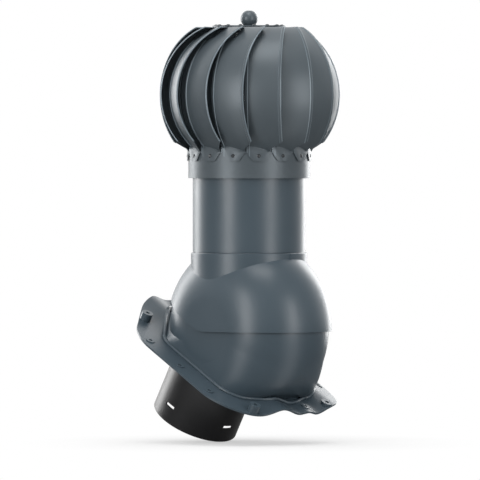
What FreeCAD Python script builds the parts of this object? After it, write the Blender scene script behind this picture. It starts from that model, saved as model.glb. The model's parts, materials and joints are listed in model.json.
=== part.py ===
"""Roof turbine ventilator: a wind driven rotor on a neck whose hood tilts on the roof flange."""
import FreeCAD, Part
import math
import os
import re
import Sketcher

Vector = FreeCAD.Vector
X_AXIS = Vector(1, 0, 0)
Y_AXIS = Vector(0, 1, 0)
Z_AXIS = Vector(0, 0, 1)

# Driving dimensions in millimetres and degrees. Heights of the upright pieces are counted from the
# tilt centre, and those of the roof pieces along the roof's normal, from the flange's plane.
SIZES = {
    # roof and tilt centre
    "roof_pitch": 30,
    "root_depth": 55,
    "duct_offset": 28.5,
    # tilting drum, a flat disc's rim rounded into a fat elbow
    "drum_flat_radius": 41,
    "hood_tube_radius": 87.5,
    "hood_wall": 2.4,
    "drum_gap": 1.7,
    "base_wall": 2.6,
    "chin_top": 10,
    "chin_reach": 26,
    "rim_drop": 3.8,
    "rim_back_depth": 11.3,
    "rim_bend": 50,
    "base_opening_height": 61.8,
    "base_opening_slope": 14,
    # collar and neck
    "neck_radius": 80,
    "neck_wall": 3,
    "neck_height": 120,
    "neck_gap": 1,
    "neck_seat_radius": 79,
    "collar_radius": 82.5,
    "collar_top": 107,
    "collar_edge": 1.5,
    "spigot_height": 25,
    "spigot_wall": 2.4,
    "slip_clearance": 0.05,
    "mark_width": 3,
    "mark_height": 8,
    # tilt pivots
    "stub_radius": 3.4,
    "pivot_clearance": 0.1,
    "pivot_end_gap": 0.4,
    "pivot_washer_radius": 9,
    "pivot_washer_thickness": 1.5,
    "pivot_screw_radius": 1.45,
    "pivot_head_radius": 3.2,
    "pivot_head_height": 2,
    # flange
    "flange_half_width": 123,
    "flange_downhill": 137,
    "flange_uphill": 180,
    "flange_shoulder": 87,
    "flange_haunch": 164,
    "flange_haunch_half": 44,
    "flange_wall": 2.6,
    "downhill_corner": 71,
    "shoulder_corner": 80,
    "haunch_corner": 60,
    "apex_corner": 70,
    "wave_height": 7,
    "pad_rise": 1.2,
    "pad_radius": 6.5,
    "boss_radius": 8,
    "boss_top": 6.8,
    "boss_side_inset": 51.5,
    "boss_end_inset": 12,
    "screw_hole_radius": 2.85,
    "side_hole_inset": 14,
    "side_hole_step": 68,
    "front_hole_x": 34,
    "front_hole_inset": 14,
    "apex_hole_x": 20,
    "apex_hole_inset": 17,
    # foot of the base shell, and how its outline changes up to the skirt's top
    "root_half_width": 83.5,
    "root_downhill": 99,
    "root_uphill": 142,
    "root_shoulder": 66,
    "root_apex_half": 16,
    "root_downhill_corner": 50,
    "root_shoulder_corner": 50,
    "root_apex_corner": 32,
    "skirt_height": 20,
    "skirt_side_draw": 1.2,
    "skirt_uphill_draw": 25,
    "skirt_shoulder_draw": 26,
    "skirt_corner_swell": 20,
    "bead_width": 2,
    # lower duct
    "duct_radius": 62.5,
    "duct_wall": 2.5,
    "duct_below": 113.5,
    "duct_free_length": 85,
    "duct_plug_step": 0.8,
    "sleeve_top": 15,
    "sleeve_ledge": 2.4,
    "sleeve_depth": 25,
    "sleeve_wall": 4,
    "duct_seal_depth": 15.5,
    "duct_seal_height": 5,
    "duct_seal_thickness": 1.7,
    "slot_width": 17,
    "slot_height": 4.6,
    "slot_rise": 24,
    "flange_seal_thickness": 4,
    "flange_seal_inset": 3.5,
    "flange_seal_width": 9,
    # throat bracket and shaft
    "bracket_depth": 23,
    "bracket_thickness": 3,
    "bracket_arm_width": 16,
    "bracket_hub_radius": 19,
    "bracket_tab_height": 16,
    "bracket_tab_depth": 12,
    "bracket_tab_thickness": 2,
    "bracket_rivet_height": 13.5,
    "rivet_radius": 2,
    "rivet_head_radius": 3.6,
    "rivet_head_height": 1.3,
    "rivet_seat_gap": 0.1,
    "stud_radius": 5,
    "stud_length": 18,
    "journal_radius": 6,
    "shaft_radius": 8,
    "nut_across": 17,
    "nut_height": 8,
    "washer_radius": 10,
    "washer_thickness": 2,
    # bearings
    "bearing_outer_radius": 16,
    "bearing_width": 10,
    "inner_race_radius": 9,
    "outer_race_radius": 9.4,
    "lower_bearing_drop": 99.4,
    "upper_bearing_drop": 28.2,
    "circlip_radius": 8.6,
    "circlip_thickness": 1.2,
    # rotor, with its drops counted down from the height where it is widest
    "blade_count": 15,
    "equator_rise": 102.4,
    "ring_radius": 86.3,
    "ring_wall": 0.8,
    "ring_drop": 118,
    "ring_height": 44,
    "sheet_thickness": 0.6,
    "blade_bend_radius": 104,
    "blade_bend_offset": 12.4,
    "blade_inner_edge": 5.3,
    "blade_width": 50.8,
    "blade_first_normal": 195.2,
    "blade_shoulder_edge": 22.9,
    "blade_shoulder_drop": 20,
    "blade_shoulder_slant": 6,
    "blade_foot_drop": 77.4,
    "blade_foot_rise": 11,
    "crown_drop": 8.2,
    "wedge_start": 22.9,
    "wedge_inner_radius": 40,
    "wedge_gap": 0.2,
    "tab_start": 2.7,
    "tab_drop": 93.8,
    "tab_shoulder_drop": 81,
    "tab_foot_half": 9,
    "tab_corner": 6,
    "tab_rivet_drop": 86.5,
    "tab_rivet_turn": 14.6,
    "rotor_rivet_radius": 1.2,
    "rotor_rivet_head": 2.8,
    "rotor_rivet_height": 1.9,
    "rotor_rivet_tail": 1,
    "disc_radius": 52,
    "disc_thickness": 2,
    "disc_rivet_circle": 46.8,
    "under_disc_radius": 50,
    "under_disc_thickness": 1.5,
    "knob_radius": 12.1,
    "knob_rise": 11.8,
    "knob_flat_rise": 23.3,
    "knob_collar_radius": 8,
    "knob_collar_height": 1.2,
    "knob_stud_radius": 3,
    "knob_nut_across": 10,
    "knob_nut_height": 5,
    "housing_wall": 3.5,
    "housing_flange_radius": 30,
    "housing_flange_thickness": 2,
    "housing_shoulder_radius": 13,
    "housing_screw_circle": 25,
    "housing_screw_radius": 2.15,
    "housing_head_radius": 4,
    "housing_head_height": 2.4,
    "spider_arm_width": 12,
    "spider_thickness": 2,
    "spider_hub_wall": 4,
    "spider_hub_height": 14,
    "spider_tab_thickness": 1.5,
    "spider_clearance": 0.1,
    "spider_tab_rise": 19,
    "spider_tab_depth": 8,
}

# Heights that follow from the sizes, each counted from the tilt centre
HEIGHTS = {
    "neck_foot": "collar_top + neck_gap",
    "neck_top": "neck_foot + neck_height",
    "bracket_seat": "neck_top - bracket_depth",
    "equator_height": "neck_top + equator_rise",
    "ring_bottom": "equator_height - ring_drop",
    "lower_bearing_seat": "equator_height - lower_bearing_drop",
    "spider_tab_top": "lower_bearing_seat + spider_tab_rise",
    "tab_bottom": "equator_height - tab_drop",
    "tab_shoulder": "equator_height - tab_shoulder_drop",
    "tab_rivet_height": "equator_height - tab_rivet_drop",
    "blade_foot_height": "equator_height - blade_foot_drop",
    "blade_top": "equator_height + blade_bend_radius - crown_drop",
    "upper_bearing_seat": "blade_top - upper_bearing_drop",
    "knob_centre": "blade_top + knob_rise",
    "knob_flat": "blade_top + knob_flat_rise",
}

SPIDER_ARMS = 5
BRACKET_ARMS = 4

doc = FreeCAD.newDocument("roof_turbine")
sheet = doc.addObject("Spreadsheet::Sheet", "Sizes")
for row, (alias, number) in enumerate(SIZES.items(), 1):
    sheet.set(f"A{row}", alias)
    sheet.set(f"B{row}", str(number))
    sheet.setAlias(f"B{row}", alias)
doc.recompute()


def bound(formula):
    """The formula with every size pointed at its cell in the sheet, and every height spelled out."""
    def point(word):
        name = word.group()
        if name in HEIGHTS:
            return f"({bound(HEIGHTS[name])})"
        return f"Sizes.{name}" if name in SIZES else name
    return re.sub(r"[a-z][a-z_0-9]*", point, formula)


def amount(formula):
    """The number that a formula of sums, differences and products comes to."""
    total = 0.0
    sign = 1.0
    for word in formula.split():
        if word in "+-":
            sign = 1.0 if word == "+" else -1.0
            continue
        term = sign
        for factor in word.split("*"):
            if factor in HEIGHTS:
                term *= amount(HEIGHTS[factor])
            else:
                term *= sheet.get(factor) if factor in SIZES else float(factor)
        total += term
        sign = 1.0
    return total


def solid(kind, name, at=("0", "0", "0"), turned=None, **formulas):
    """A Part primitive whose sizes and place follow the sheet."""
    thing = doc.addObject(f"Part::{kind}", name)
    if turned:
        thing.Placement = FreeCAD.Placement(Vector(), turned)
    for size, formula in formulas.items():
        thing.setExpression(size, bound(formula))
    for letter, formula in zip("xyz", at):
        thing.setExpression(f"Placement.Base.{letter}", bound(formula))
    return thing


def rod(name, radius, bottom, top, at=("0", "0")):
    """An upright cylinder between two heights."""
    return solid("Cylinder", name, (at[0], at[1], bottom), Radius=radius, Height=f"({top}) - ({bottom})")


def joined(name, *things):
    thing = doc.addObject("Part::MultiFuse", name)
    thing.Shapes = list(things)
    thing.Refine = True
    return thing


def cut(name, base, *tools):
    thing = doc.addObject("Part::Cut", name)
    thing.Base = base
    thing.Tool = tools[0] if len(tools) == 1 else joined(f"{name}_tools", *tools)
    thing.Refine = True
    return thing


def common(name, first, second):
    thing = doc.addObject("Part::Common", name)
    thing.Base = first
    thing.Tool = second
    return thing


def grouped(name, things):
    thing = doc.addObject("Part::Compound", name)
    thing.Links = things
    return thing


def turned_copy(name, source, angle):
    """The source turned about the upright axis, by an angle that is a formula."""
    thing = grouped(name, [source])
    thing.Placement = FreeCAD.Placement(Vector(), FreeCAD.Rotation(Z_AXIS, 1))
    thing.setExpression("Placement.Rotation.Angle", bound(angle))
    return thing


def tube(name, outer, inner, bottom, top):
    reach = "1"
    return cut(name, rod(f"{name}_outside", outer, bottom, top),
               rod(f"{name}_inside", inner, f"{bottom} - {reach}", f"{top} + {reach}"))


def shaped(name, shape):
    """A feature for the few forms that no primitive or sketch fits."""
    thing = doc.addObject("Part::Feature", name)
    thing.Shape = shape
    return thing


def rounded_outline(corners, level=0.0):
    """A closed wire in the XY plane through corners (x, y, radius), each rounded by an arc."""
    starts = []
    ends = []
    edges = []
    count = len(corners)
    for index, (x, y, radius) in enumerate(corners):
        point = Vector(x, y, level)
        before = Vector(*corners[index - 1][:2], level) - point
        after = Vector(*corners[(index + 1) % count][:2], level) - point
        before.normalize()
        after.normalize()
        half = before.getAngle(after) / 2
        back = radius / math.tan(half)
        starts.append(point + before * back)
        ends.append(point + after * back)
        if radius:
            bisector = (before + after).normalize()
            middle = point + bisector * (radius / math.sin(half) - radius)
            edges.append(Part.Arc(starts[-1], middle, ends[-1]).toShape())
        else:
            edges.append(None)
    ordered = []
    for index in range(count):
        if edges[index]:
            ordered.append(edges[index])
        following = starts[(index + 1) % count]
        if (ends[index] - following).Length > 1e-6:
            ordered.append(Part.LineSegment(ends[index], following).toShape())
    return Part.Wire(ordered)


def prism(wire, depth):
    return Part.Face(wire).extrude(Z_AXIS * depth)


def side_prism(corners, half_width):
    """A solid across the whole part, from an outline in the YZ plane."""
    flat = prism(rounded_outline(corners), 2 * half_width)
    flat.Placement = FreeCAD.Placement(Vector(-half_width, 0, 0), FreeCAD.Rotation(Y_AXIS, Z_AXIS, X_AXIS))
    return flat


def elbow(name, tube_radius):
    """The drum: a half circle profile standing on the flat radius, turned about the tilt axis."""
    width = amount(tube_radius)
    flat = amount("drum_flat_radius")
    sketch = doc.addObject("Sketcher::SketchObject", f"{name}_profile")
    corners = [Vector(-width, 0, 0), Vector(-width, flat, 0), Vector(width, flat, 0), Vector(width, 0, 0)]
    left = sketch.addGeometry(Part.LineSegment(corners[0], corners[1]))
    arc = sketch.addGeometry(Part.ArcOfCircle(Part.Circle(Vector(0, flat, 0), Z_AXIS, width), 0, math.pi))
    right = sketch.addGeometry(Part.LineSegment(corners[2], corners[3]))
    bottom = sketch.addGeometry(Part.LineSegment(corners[3], corners[0]))
    origin = -1
    upright = -2
    for first, first_end, second, second_end in ((left, 2, arc, 2), (arc, 1, right, 1),
                                                 (right, 2, bottom, 1), (bottom, 2, left, 1)):
        sketch.addConstraint(Sketcher.Constraint("Coincident", first, first_end, second, second_end))
    sketch.addConstraint(Sketcher.Constraint("PointOnObject", bottom, 1, origin))
    sketch.addConstraint(Sketcher.Constraint("PointOnObject", bottom, 2, origin))
    sketch.addConstraint(Sketcher.Constraint("PointOnObject", arc, 3, upright))
    sketch.addConstraint(Sketcher.Constraint("Vertical", left))
    sketch.addConstraint(Sketcher.Constraint("Vertical", right))
    sketch.addConstraint(Sketcher.Constraint("Horizontal", arc, 3, arc, 1))
    sketch.addConstraint(Sketcher.Constraint("Horizontal", arc, 3, arc, 2))
    radius = sketch.addConstraint(Sketcher.Constraint("Radius", arc, width))
    height = sketch.addConstraint(Sketcher.Constraint("DistanceY", origin, 1, arc, 3, flat))
    sketch.setExpression(f"Constraints[{radius}]", bound(tube_radius))
    sketch.setExpression(f"Constraints[{height}]", bound("drum_flat_radius"))
    turned = doc.addObject("Part::Revolution", name)
    turned.Source = sketch
    turned.Axis = X_AXIS
    turned.Angle = 360
    turned.Solid = True
    return turned


def plane_of(body, role):
    return next(feature for feature in body.Origin.OriginFeatures if feature.Role == role)


def profile(body, role, name, points):
    """A sketch of straight lines through points, each held by two formulas from the origin."""
    sketch = body.newObject("Sketcher::SketchObject", name)
    sketch.AttachmentSupport = [(plane_of(body, role), "")]
    sketch.MapMode = "FlatFace"
    spots = [Vector(amount(across), amount(along), 0) for across, along in points]
    for index, spot in enumerate(spots):
        sketch.addGeometry(Part.LineSegment(spot, spots[(index + 1) % len(spots)]))
    for index in range(len(spots)):
        sketch.addConstraint(Sketcher.Constraint("Coincident", index - 1 if index else len(spots) - 1, 2,
                                                 index, 1))
    for index, (spot, (across, along)) in enumerate(zip(spots, points)):
        for axis, kind, value, formula in ((-2, "DistanceX", spot.x, across), (-1, "DistanceY", spot.y, along)):
            if abs(value) < 1e-9:
                sketch.addConstraint(Sketcher.Constraint("PointOnObject", index, 1, axis))
            else:
                held = sketch.addConstraint(Sketcher.Constraint(kind, -1, 1, index, 1, value))
                sketch.setExpression(f"Constraints[{held}]", bound(formula))
    return sketch


def turned_body(name, points):
    """A body revolved about the upright axis from a profile of (radius, height) points."""
    body = doc.addObject("PartDesign::Body", name)
    sketch = profile(body, "XZ_Plane", f"{name}_profile", points)
    turn = body.newObject("PartDesign::Revolution", f"{name}_turn")
    turn.Profile = sketch
    turn.ReferenceAxis = (sketch, ["V_Axis"])
    turn.Angle = 360
    return body


def ring_body(name, outer, inner, bottom, top):
    """A body turned as a plain ring between two heights."""
    return turned_body(name, [(inner, bottom), (outer, bottom), (outer, top), (inner, top)])


def hexagon(name, across, hole, bottom, height):
    """A hexagon nut on the upright axis."""
    block = solid("Prism", f"{name}_block", ("0", "0", bottom), Circumradius=f"({across}) * 0.57735",
                  Height=height)
    return cut(name, block, rod(f"{name}_hole", hole, f"{bottom} - 1", f"{bottom} + {height} + 1"))


DUCT_DROP = "(root_depth + duct_below)"
CENTRE_Y = f"-(duct_offset * cos(roof_pitch * 1 deg) + {DUCT_DROP} * sin(roof_pitch * 1 deg))"
CENTRE_Z = f"{DUCT_DROP} * cos(roof_pitch * 1 deg) - duct_offset * sin(roof_pitch * 1 deg)"
nodes = []


def hand_in(thing, name, on_roof=False):
    """Name a finished piece and set it at the tilt centre, turned to the roof if it lies on it."""
    thing.Label = name
    angle = amount("roof_pitch") if on_roof else 0
    thing.Placement = FreeCAD.Placement(Vector(), FreeCAD.Rotation(X_AXIS, angle))
    thing.setExpression("Placement.Base.y", bound(CENTRE_Y))
    thing.setExpression("Placement.Base.z", bound(CENTRE_Z))
    if on_roof:
        thing.setExpression("Placement.Rotation.Angle", bound("roof_pitch"))
    nodes.append(thing)


# Flange wave: the lower face of a tile sheet across the slope, as shares of the flange's half width
# and of the wave's height.
WAVE = [(-1.02, -1.15), (-0.78, -1.02), (-0.52, -0.95), (-0.34, -0.3), (-0.2, 0.38), (-0.06, -0.1),
        (0.12, -0.85), (0.26, -0.52), (0.37, -0.9), (0.52, 0.0), (0.67, 0.36), (0.84, -0.3), (1.02, -1.36)]


def wave_slab(rise, thickness):
    """The wavy sheet before its outline is cut, with its lower face raised above the tile's."""
    depth = amount("root_depth")
    lows = []
    for across, up in WAVE:
        lows.append(Vector(across * amount("flange_half_width"), 0, up * amount("wave_height") + rise - depth))
    highs = [low + Z_AXIS * thickness for low in lows]
    curves = []
    for spots in (lows, highs):
        curve = Part.BSplineCurve()
        curve.interpolate(spots)
        curves.append(curve.toShape())
    sides = [Part.LineSegment(lows[end], highs[end]).toShape() for end in (0, -1)]
    reach = 1.2 * (amount("flange_uphill") + amount("flange_downhill")) / 2
    face = Part.Face(Part.Wire([curves[0], sides[1], curves[1], sides[0]]))
    face.translate(Y_AXIS * -reach)
    return face.extrude(Y_AXIS * 2 * reach)


def flange_outline(level):
    """The rounded outline of the flange: square downhill, drawn to a blunt point uphill."""
    half = amount("flange_half_width")
    shoulder = (half, amount("flange_shoulder"), amount("shoulder_corner"))
    haunch = (amount("flange_haunch_half"), amount("flange_haunch"), amount("haunch_corner"))
    corner = (half, -amount("flange_downhill"), amount("downhill_corner"))
    right = [corner, shoulder, haunch]
    left = [(-x, y, radius) for x, y, radius in reversed(right)]
    return rounded_outline(right + [(0, amount("flange_uphill"), amount("apex_corner"))] + left, level)


def foot_outline(inset, level, share=0.0):
    """The foot's rounded outline drawn in by an inset, at a share of the way up the skirt."""
    half = amount("root_half_width") - share * amount("skirt_side_draw") - inset
    down = amount("root_downhill") - inset
    up = amount("root_uphill") - share * amount("skirt_uphill_draw") - inset
    shoulder = amount("root_shoulder") - share * amount("skirt_shoulder_draw") - 0.5 * inset
    apex = amount("root_apex_half") - 0.5 * inset
    low = amount("root_downhill_corner") + share * amount("skirt_corner_swell") - inset
    mid = amount("root_shoulder_corner") - inset
    top = min(amount("root_apex_corner") - inset, 2 * apex)
    right = [(half, -down, low), (half, shoulder, mid), (apex, up, top)]
    left = [(-x, y, radius) for x, y, radius in reversed(right)]
    return rounded_outline(right + left, level)


def flange_pieces():
    """Flange sheet, hole pads, bosses and the bead round the foot."""
    floor = -amount("root_depth")
    wall = amount("flange_wall")
    rise = amount("pad_rise")
    tall = amount("root_depth")
    sheet_part = wave_slab(0, wall).common(prism(flange_outline(floor - tall / 2), tall))
    raised = wave_slab(0, wall + rise)
    under = wave_slab(-tall, tall)
    inside = prism(foot_outline(amount("base_wall"), floor - tall / 2), tall)
    ring = prism(foot_outline(-amount("bead_width"), floor - tall / 2), tall).cut(inside)
    bead = ring.common(raised)
    pads = []
    holes = []
    bosses = []
    side = amount("flange_half_width - side_hole_inset")
    step = amount("side_hole_step")
    low_places = [(sign * side, row * step) for sign in (-1, 1) for row in (-1, 0, 1)]
    low_places += [(amount("front_hole_x"), -amount("flange_downhill - front_hole_inset")),
                   (amount("apex_hole_x"), amount("flange_uphill - apex_hole_inset"))]
    high_places = [(across * amount("flange_half_width - boss_side_inset"),
                    along * amount("flange_downhill - boss_end_inset"))
                   for across in (-1, 1) for along in (-1, 1)]
    for x, y in low_places:
        pads.append(Part.makeCylinder(amount("pad_radius"), tall, Vector(x, y, floor - tall / 2)))
    for x, y in high_places:
        height = tall / 2 + amount("boss_top")
        bosses.append(Part.makeCylinder(amount("boss_radius"), height, Vector(x, y, floor - tall / 2)))
    for x, y in low_places + high_places:
        holes.append(Part.makeCylinder(amount("screw_hole_radius"), tall, Vector(x, y, floor - tall / 2)))
    boss_part = Part.makeCompound(bosses).cut(under)
    pad_part = Part.makeCompound(pads).common(raised)
    whole = sheet_part.cut(inside).fuse([bead, boss_part, pad_part])
    return whole.cut(holes).removeSplitter()


def skirt(inset, bottom):
    """The foot under the drum, from its outline on the flange up to one inside the drum."""
    floor = -amount("root_depth")
    low = foot_outline(inset, floor + bottom)
    high = foot_outline(inset, floor + amount("skirt_height"), 1.0)
    return Part.makeLoft([low, high], True, True)


def chin(level, inset=0.0):
    """Where the drum's flat chin stands along the slope at a level, moved in by an inset."""
    bottom = -amount("root_depth + flange_wall")
    lean = amount("chin_reach") / (-amount("chin_top") - bottom)
    return inset * math.hypot(1, lean) - amount("root_downhill") - lean * (level - bottom)


# Base shell
drum_outside = elbow("base_drum_outside", "hood_tube_radius - hood_wall - drum_gap")
drum_inside = elbow("base_drum_inside", "hood_tube_radius - hood_wall - drum_gap - base_wall")
drum_side = "hood_tube_radius - hood_wall - drum_gap"
far = 2 * amount("flange_uphill")
slope = math.tan(math.radians(amount("base_opening_slope")))
opening_edge = amount("base_opening_height")
root = -amount("root_depth")
floor_bottom = root - amount("flange_wall")
chin_top = -amount("chin_top")
wall = amount("base_wall")
keep_outside = shaped("keep_outside", side_prism(
    [(chin(floor_bottom), floor_bottom, 0), (far, floor_bottom, 0), (far, opening_edge - far * slope, 0),
     (-far, opening_edge + far * slope, 0), (-far, chin_top, 0), (chin(chin_top), chin_top, 0)], far))
keep_inside = shaped("keep_inside", side_prism(
    [(chin(root, wall), root, 0), (far, root, 0), (far, 2 * far, 0), (-far, 2 * far, 0),
     (-far, chin_top, 0), (chin(chin_top, wall), chin_top, 0)], far))
skirt_outside = shaped("skirt_outside", skirt(0, -amount("flange_wall")))
skirt_inside = shaped("skirt_inside", skirt(wall, 0))
flange_sheet = shaped("flange_sheet", flange_pieces())
base_outside = joined("base_outside", common("drum_kept", drum_outside, keep_outside), skirt_outside)
base_hollow = joined("base_hollow", common("hollow_kept", drum_inside, keep_inside), skirt_inside)
base_walls = cut("base_walls", base_outside, base_hollow)
sleeve_radius = "duct_radius + slip_clearance + sleeve_wall"
duct_at = ("0", "duct_offset")
sleeve = rod("sleeve", sleeve_radius, "-root_depth - sleeve_depth", "sleeve_top - root_depth", duct_at)
sleeve_bore = rod("sleeve_bore", "duct_radius - duct_plug_step + slip_clearance", "-root_depth - sleeve_depth - 1",
                  "sleeve_top - sleeve_ledge - root_depth", duct_at)
sleeve_mouth = rod("sleeve_mouth", "duct_radius - duct_wall", "-root_depth - sleeve_depth - 1",
                   "sleeve_top + 1 - root_depth", duct_at)
seal_low = "-root_depth - duct_seal_depth - 0.5 * duct_seal_height"
seal_high = "-root_depth - duct_seal_depth + 0.5 * duct_seal_height"
seal_groove = rod("seal_groove", "duct_radius + duct_seal_thickness + slip_clearance", seal_low, seal_high,
                  duct_at)
pivot_holes = solid("Cylinder", "pivot_holes", (f"-({drum_side}) - 1", "0", "0"),
                    FreeCAD.Rotation(Z_AXIS, X_AXIS), Radius="stub_radius + pivot_clearance",
                    Height=f"2 * ({drum_side}) + 2")
base_whole = joined("base_whole", base_walls, flange_sheet, sleeve)
base_shell = cut("base_shell", base_whole, sleeve_bore, sleeve_mouth, seal_groove, pivot_holes)
hand_in(base_shell, "base_shell", True)

# Seal in the sleeve
duct_seal = cut("duct_seal", rod("seal_outside", "duct_radius + duct_seal_thickness", seal_low, seal_high, duct_at),
                rod("seal_inside", "duct_radius - duct_plug_step", seal_low, seal_high, duct_at))
hand_in(duct_seal, "duct_seal", True)

# Foam seal under the flange
seal_inset = -amount("flange_seal_inset")
seal_band = prism(foot_outline(seal_inset - amount("flange_seal_width"), 1.5 * root), -root)
seal_ring = seal_band.cut(prism(foot_outline(seal_inset, 1.5 * root), -root))
flange_seal = shaped("flange_seal", wave_slab(-amount("flange_seal_thickness + slip_clearance"),
                                              amount("flange_seal_thickness")).common(seal_ring))
hand_in(flange_seal, "flange_seal", True)

# Lower duct with its four slots, and its upper end drawn in a little where the sleeve takes it
duct = doc.addObject("PartDesign::Body", "duct_body")
duct_length = "duct_below + sleeve_top - sleeve_ledge"
for stretch, outside, length in (("plug", "duct_radius - duct_plug_step", duct_length),
                                 ("free", "duct_radius", "duct_free_length")):
    duct_wall_sketch = duct.newObject("Sketcher::SketchObject", f"duct_{stretch}_section")
    duct_wall_sketch.AttachmentSupport = [(plane_of(duct, "XY_Plane"), "")]
    duct_wall_sketch.MapMode = "FlatFace"
    for formula in (outside, "duct_radius - duct_wall"):
        centre = Vector(0, amount("duct_offset"), 0)
        circle = duct_wall_sketch.addGeometry(Part.Circle(centre, Z_AXIS, amount(formula)))
        duct_wall_sketch.addConstraint(Sketcher.Constraint("PointOnObject", circle, 3, -2))
        held = duct_wall_sketch.addConstraint(Sketcher.Constraint("DistanceY", -1, 1, circle, 3, centre.y))
        duct_wall_sketch.setExpression(f"Constraints[{held}]", bound("duct_offset"))
        held = duct_wall_sketch.addConstraint(Sketcher.Constraint("Radius", circle, amount(formula)))
        duct_wall_sketch.setExpression(f"Constraints[{held}]", bound(formula))
    duct_pad = duct.newObject("PartDesign::Pad", f"duct_{stretch}")
    duct_pad.Profile = duct_wall_sketch
    duct_pad.setExpression("Length", bound(length))
    duct_wall_sketch.setExpression("AttachmentOffset.Base.z", bound("-root_depth - duct_below"))
slot_low = "slot_rise - root_depth - duct_below - 0.5*slot_height"
slot_high = "slot_rise - root_depth - duct_below + 0.5*slot_height"
slot_half = "0.5*slot_width"
for role, middle in (("XZ_Plane", "0"), ("YZ_Plane", "duct_offset")):
    sides = (f"{middle} - {slot_half}", f"{middle} + {slot_half}")
    slot_sketch = profile(duct, role, f"slots_{role[:2].lower()}",
                          [(sides[0], slot_low), (sides[1], slot_low), (sides[1], slot_high),
                           (sides[0], slot_high)])
    slots = duct.newObject("PartDesign::Pocket", f"slots_{role[:2].lower()}_cut")
    slots.Profile = slot_sketch
    slots.Midplane = True
    slots.Length = 4 * (amount("duct_radius") + amount("duct_offset"))
hand_in(duct, "duct_pipe", True)

# Hood shell with collar, spigot and pivot stubs
hood_outside = elbow("hood_outside", "hood_tube_radius")
hood_inside = elbow("hood_inside", "hood_tube_radius - hood_wall")
collar_root = "0.55*collar_top"
collar_plain = rod("collar_plain", "collar_radius", collar_root, "collar_top")
doc.recompute()
collar = doc.addObject("Part::Fillet", "collar")
collar.Base = collar_plain
collar_edge = next(index for index, edge in enumerate(collar_plain.Shape.Edges, 1)
                   if abs(edge.BoundBox.ZMin - amount("collar_top")) < 1e-6)
collar.Edges = [(collar_edge, amount("collar_edge"), amount("collar_edge"))]
spigot_radius = "neck_radius - neck_wall - slip_clearance"
spigot_inside = f"{spigot_radius} - spigot_wall"
spigot = rod("spigot", spigot_radius, collar_root, "collar_top + spigot_height")
neck_seat = rod("neck_seat", "neck_seat_radius", collar_root, "neck_foot")
mark =solid("Box", "collar_mark", ("-0.5 * mark_width", "-collar_radius - 1", "collar_top - mark_height - 1"),
             Length="mark_width", Width="2", Height="mark_height")
hood_bore = rod("hood_bore", spigot_inside, "drum_flat_radius", "collar_top + spigot_height + 1")
collar_hollow = cut("collar_hollow",
                    rod("collar_hollow_outside", "collar_radius - hood_wall", "drum_flat_radius",
                        "collar_top - hood_wall"),
                    rod("collar_hollow_inside", spigot_radius, "drum_flat_radius - 1", "collar_top"))
rim = -amount("rim_drop")
back_tan = math.tan(math.radians(amount("roof_pitch")))
back_low = -amount("rim_back_depth") / math.cos(math.radians(amount("roof_pitch")))
bend_y = (rim - back_low) / back_tan
below_rim = shaped("below_rim", side_prism(
    [(-far, rim, 0), (-far, -2 * far, 0), (far, -2 * far, 0), (far, back_low + far * back_tan, 0),
     (bend_y, rim, amount("rim_bend"))], far))
hood_body = joined("hood_body", hood_outside, collar, spigot, neck_seat, mark)
hood_cup = cut("hood_cup", hood_body, hood_inside, hood_bore, collar_hollow, below_rim)
stub_end = f"{drum_side} - base_wall - pivot_end_gap"
stub_root = "hood_tube_radius - 0.5 * hood_wall"
stubs = []
stub_holes = []
for side_name, sign in (("left", -1), ("right", 1)):
    facing = FreeCAD.Rotation(Z_AXIS, X_AXIS * sign)
    stubs.append(solid("Cylinder", f"stub_{side_name}", (f"{sign} * ({stub_end})", "0", "0"), facing,
                       Radius="stub_radius", Height=f"({stub_root}) - ({stub_end})"))
    stub_holes.append(solid("Cylinder", f"stub_hole_{side_name}", (f"{sign} * ({stub_end} - 1)", "0", "0"),
                            facing, Radius="pivot_screw_radius + slip_clearance",
                            Height=f"({stub_root}) - ({stub_end}) + 1"))
hood_shell = cut("hood_shell", joined("hood_with_stubs", hood_cup, *stubs), *stub_holes)
hand_in(hood_shell, "hood_shell")

# Pivot washers and screws, put in from inside the base
washers = []
screws = []
washer_end = f"{stub_end} - pivot_washer_thickness"
head_end = f"{washer_end} - pivot_head_height"
for side_name, sign in (("left", -1), ("right", 1)):
    facing = FreeCAD.Rotation(Z_AXIS, X_AXIS * sign)
    plate = solid("Cylinder", f"washer_plate_{side_name}", (f"{sign} * ({washer_end})", "0", "0"), facing,
                  Radius="pivot_washer_radius", Height="pivot_washer_thickness")
    hole = solid("Cylinder", f"washer_hole_{side_name}", (f"{sign} * ({washer_end} - 1)", "0", "0"), facing,
                 Radius="pivot_screw_radius + slip_clearance", Height="pivot_washer_thickness + 2")
    washers.append(cut(f"pivot_washer_{side_name}", plate, hole))
    head = solid("Cylinder", f"screw_head_{side_name}", (f"{sign} * ({head_end})", "0", "0"), facing,
                 Radius="pivot_head_radius", Height="pivot_head_height")
    shank = solid("Cylinder", f"screw_shank_{side_name}", (f"{sign} * ({head_end} + 1)", "0", "0"), facing,
                  Radius="pivot_screw_radius", Height=f"({stub_root}) - ({head_end}) - 1.5")
    screws.append(joined(f"pivot_screw_{side_name}", head, shank))
hand_in(grouped("washer_pair", washers), "pivot_washers")
hand_in(grouped("screw_pair", screws), "pivot_screws")

# Neck pipe, which stands on the collar's seat ring over its spigot
rivet_level = "bracket_seat + bracket_rivet_height"
neck_tube = tube("neck_tube", "neck_radius", "neck_radius - neck_wall", "neck_foot", "neck_top")


def radial_rod(name, radius, start, end, height, angle):
    """A cylinder that points out from the upright axis between two radii."""
    thing = solid("Cylinder", name, (start, "0", height), FreeCAD.Rotation(Z_AXIS, X_AXIS),
                  Radius=radius, Height=f"({end}) - ({start})")
    return turned_copy(f"{name}_turned", thing, angle)


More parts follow.
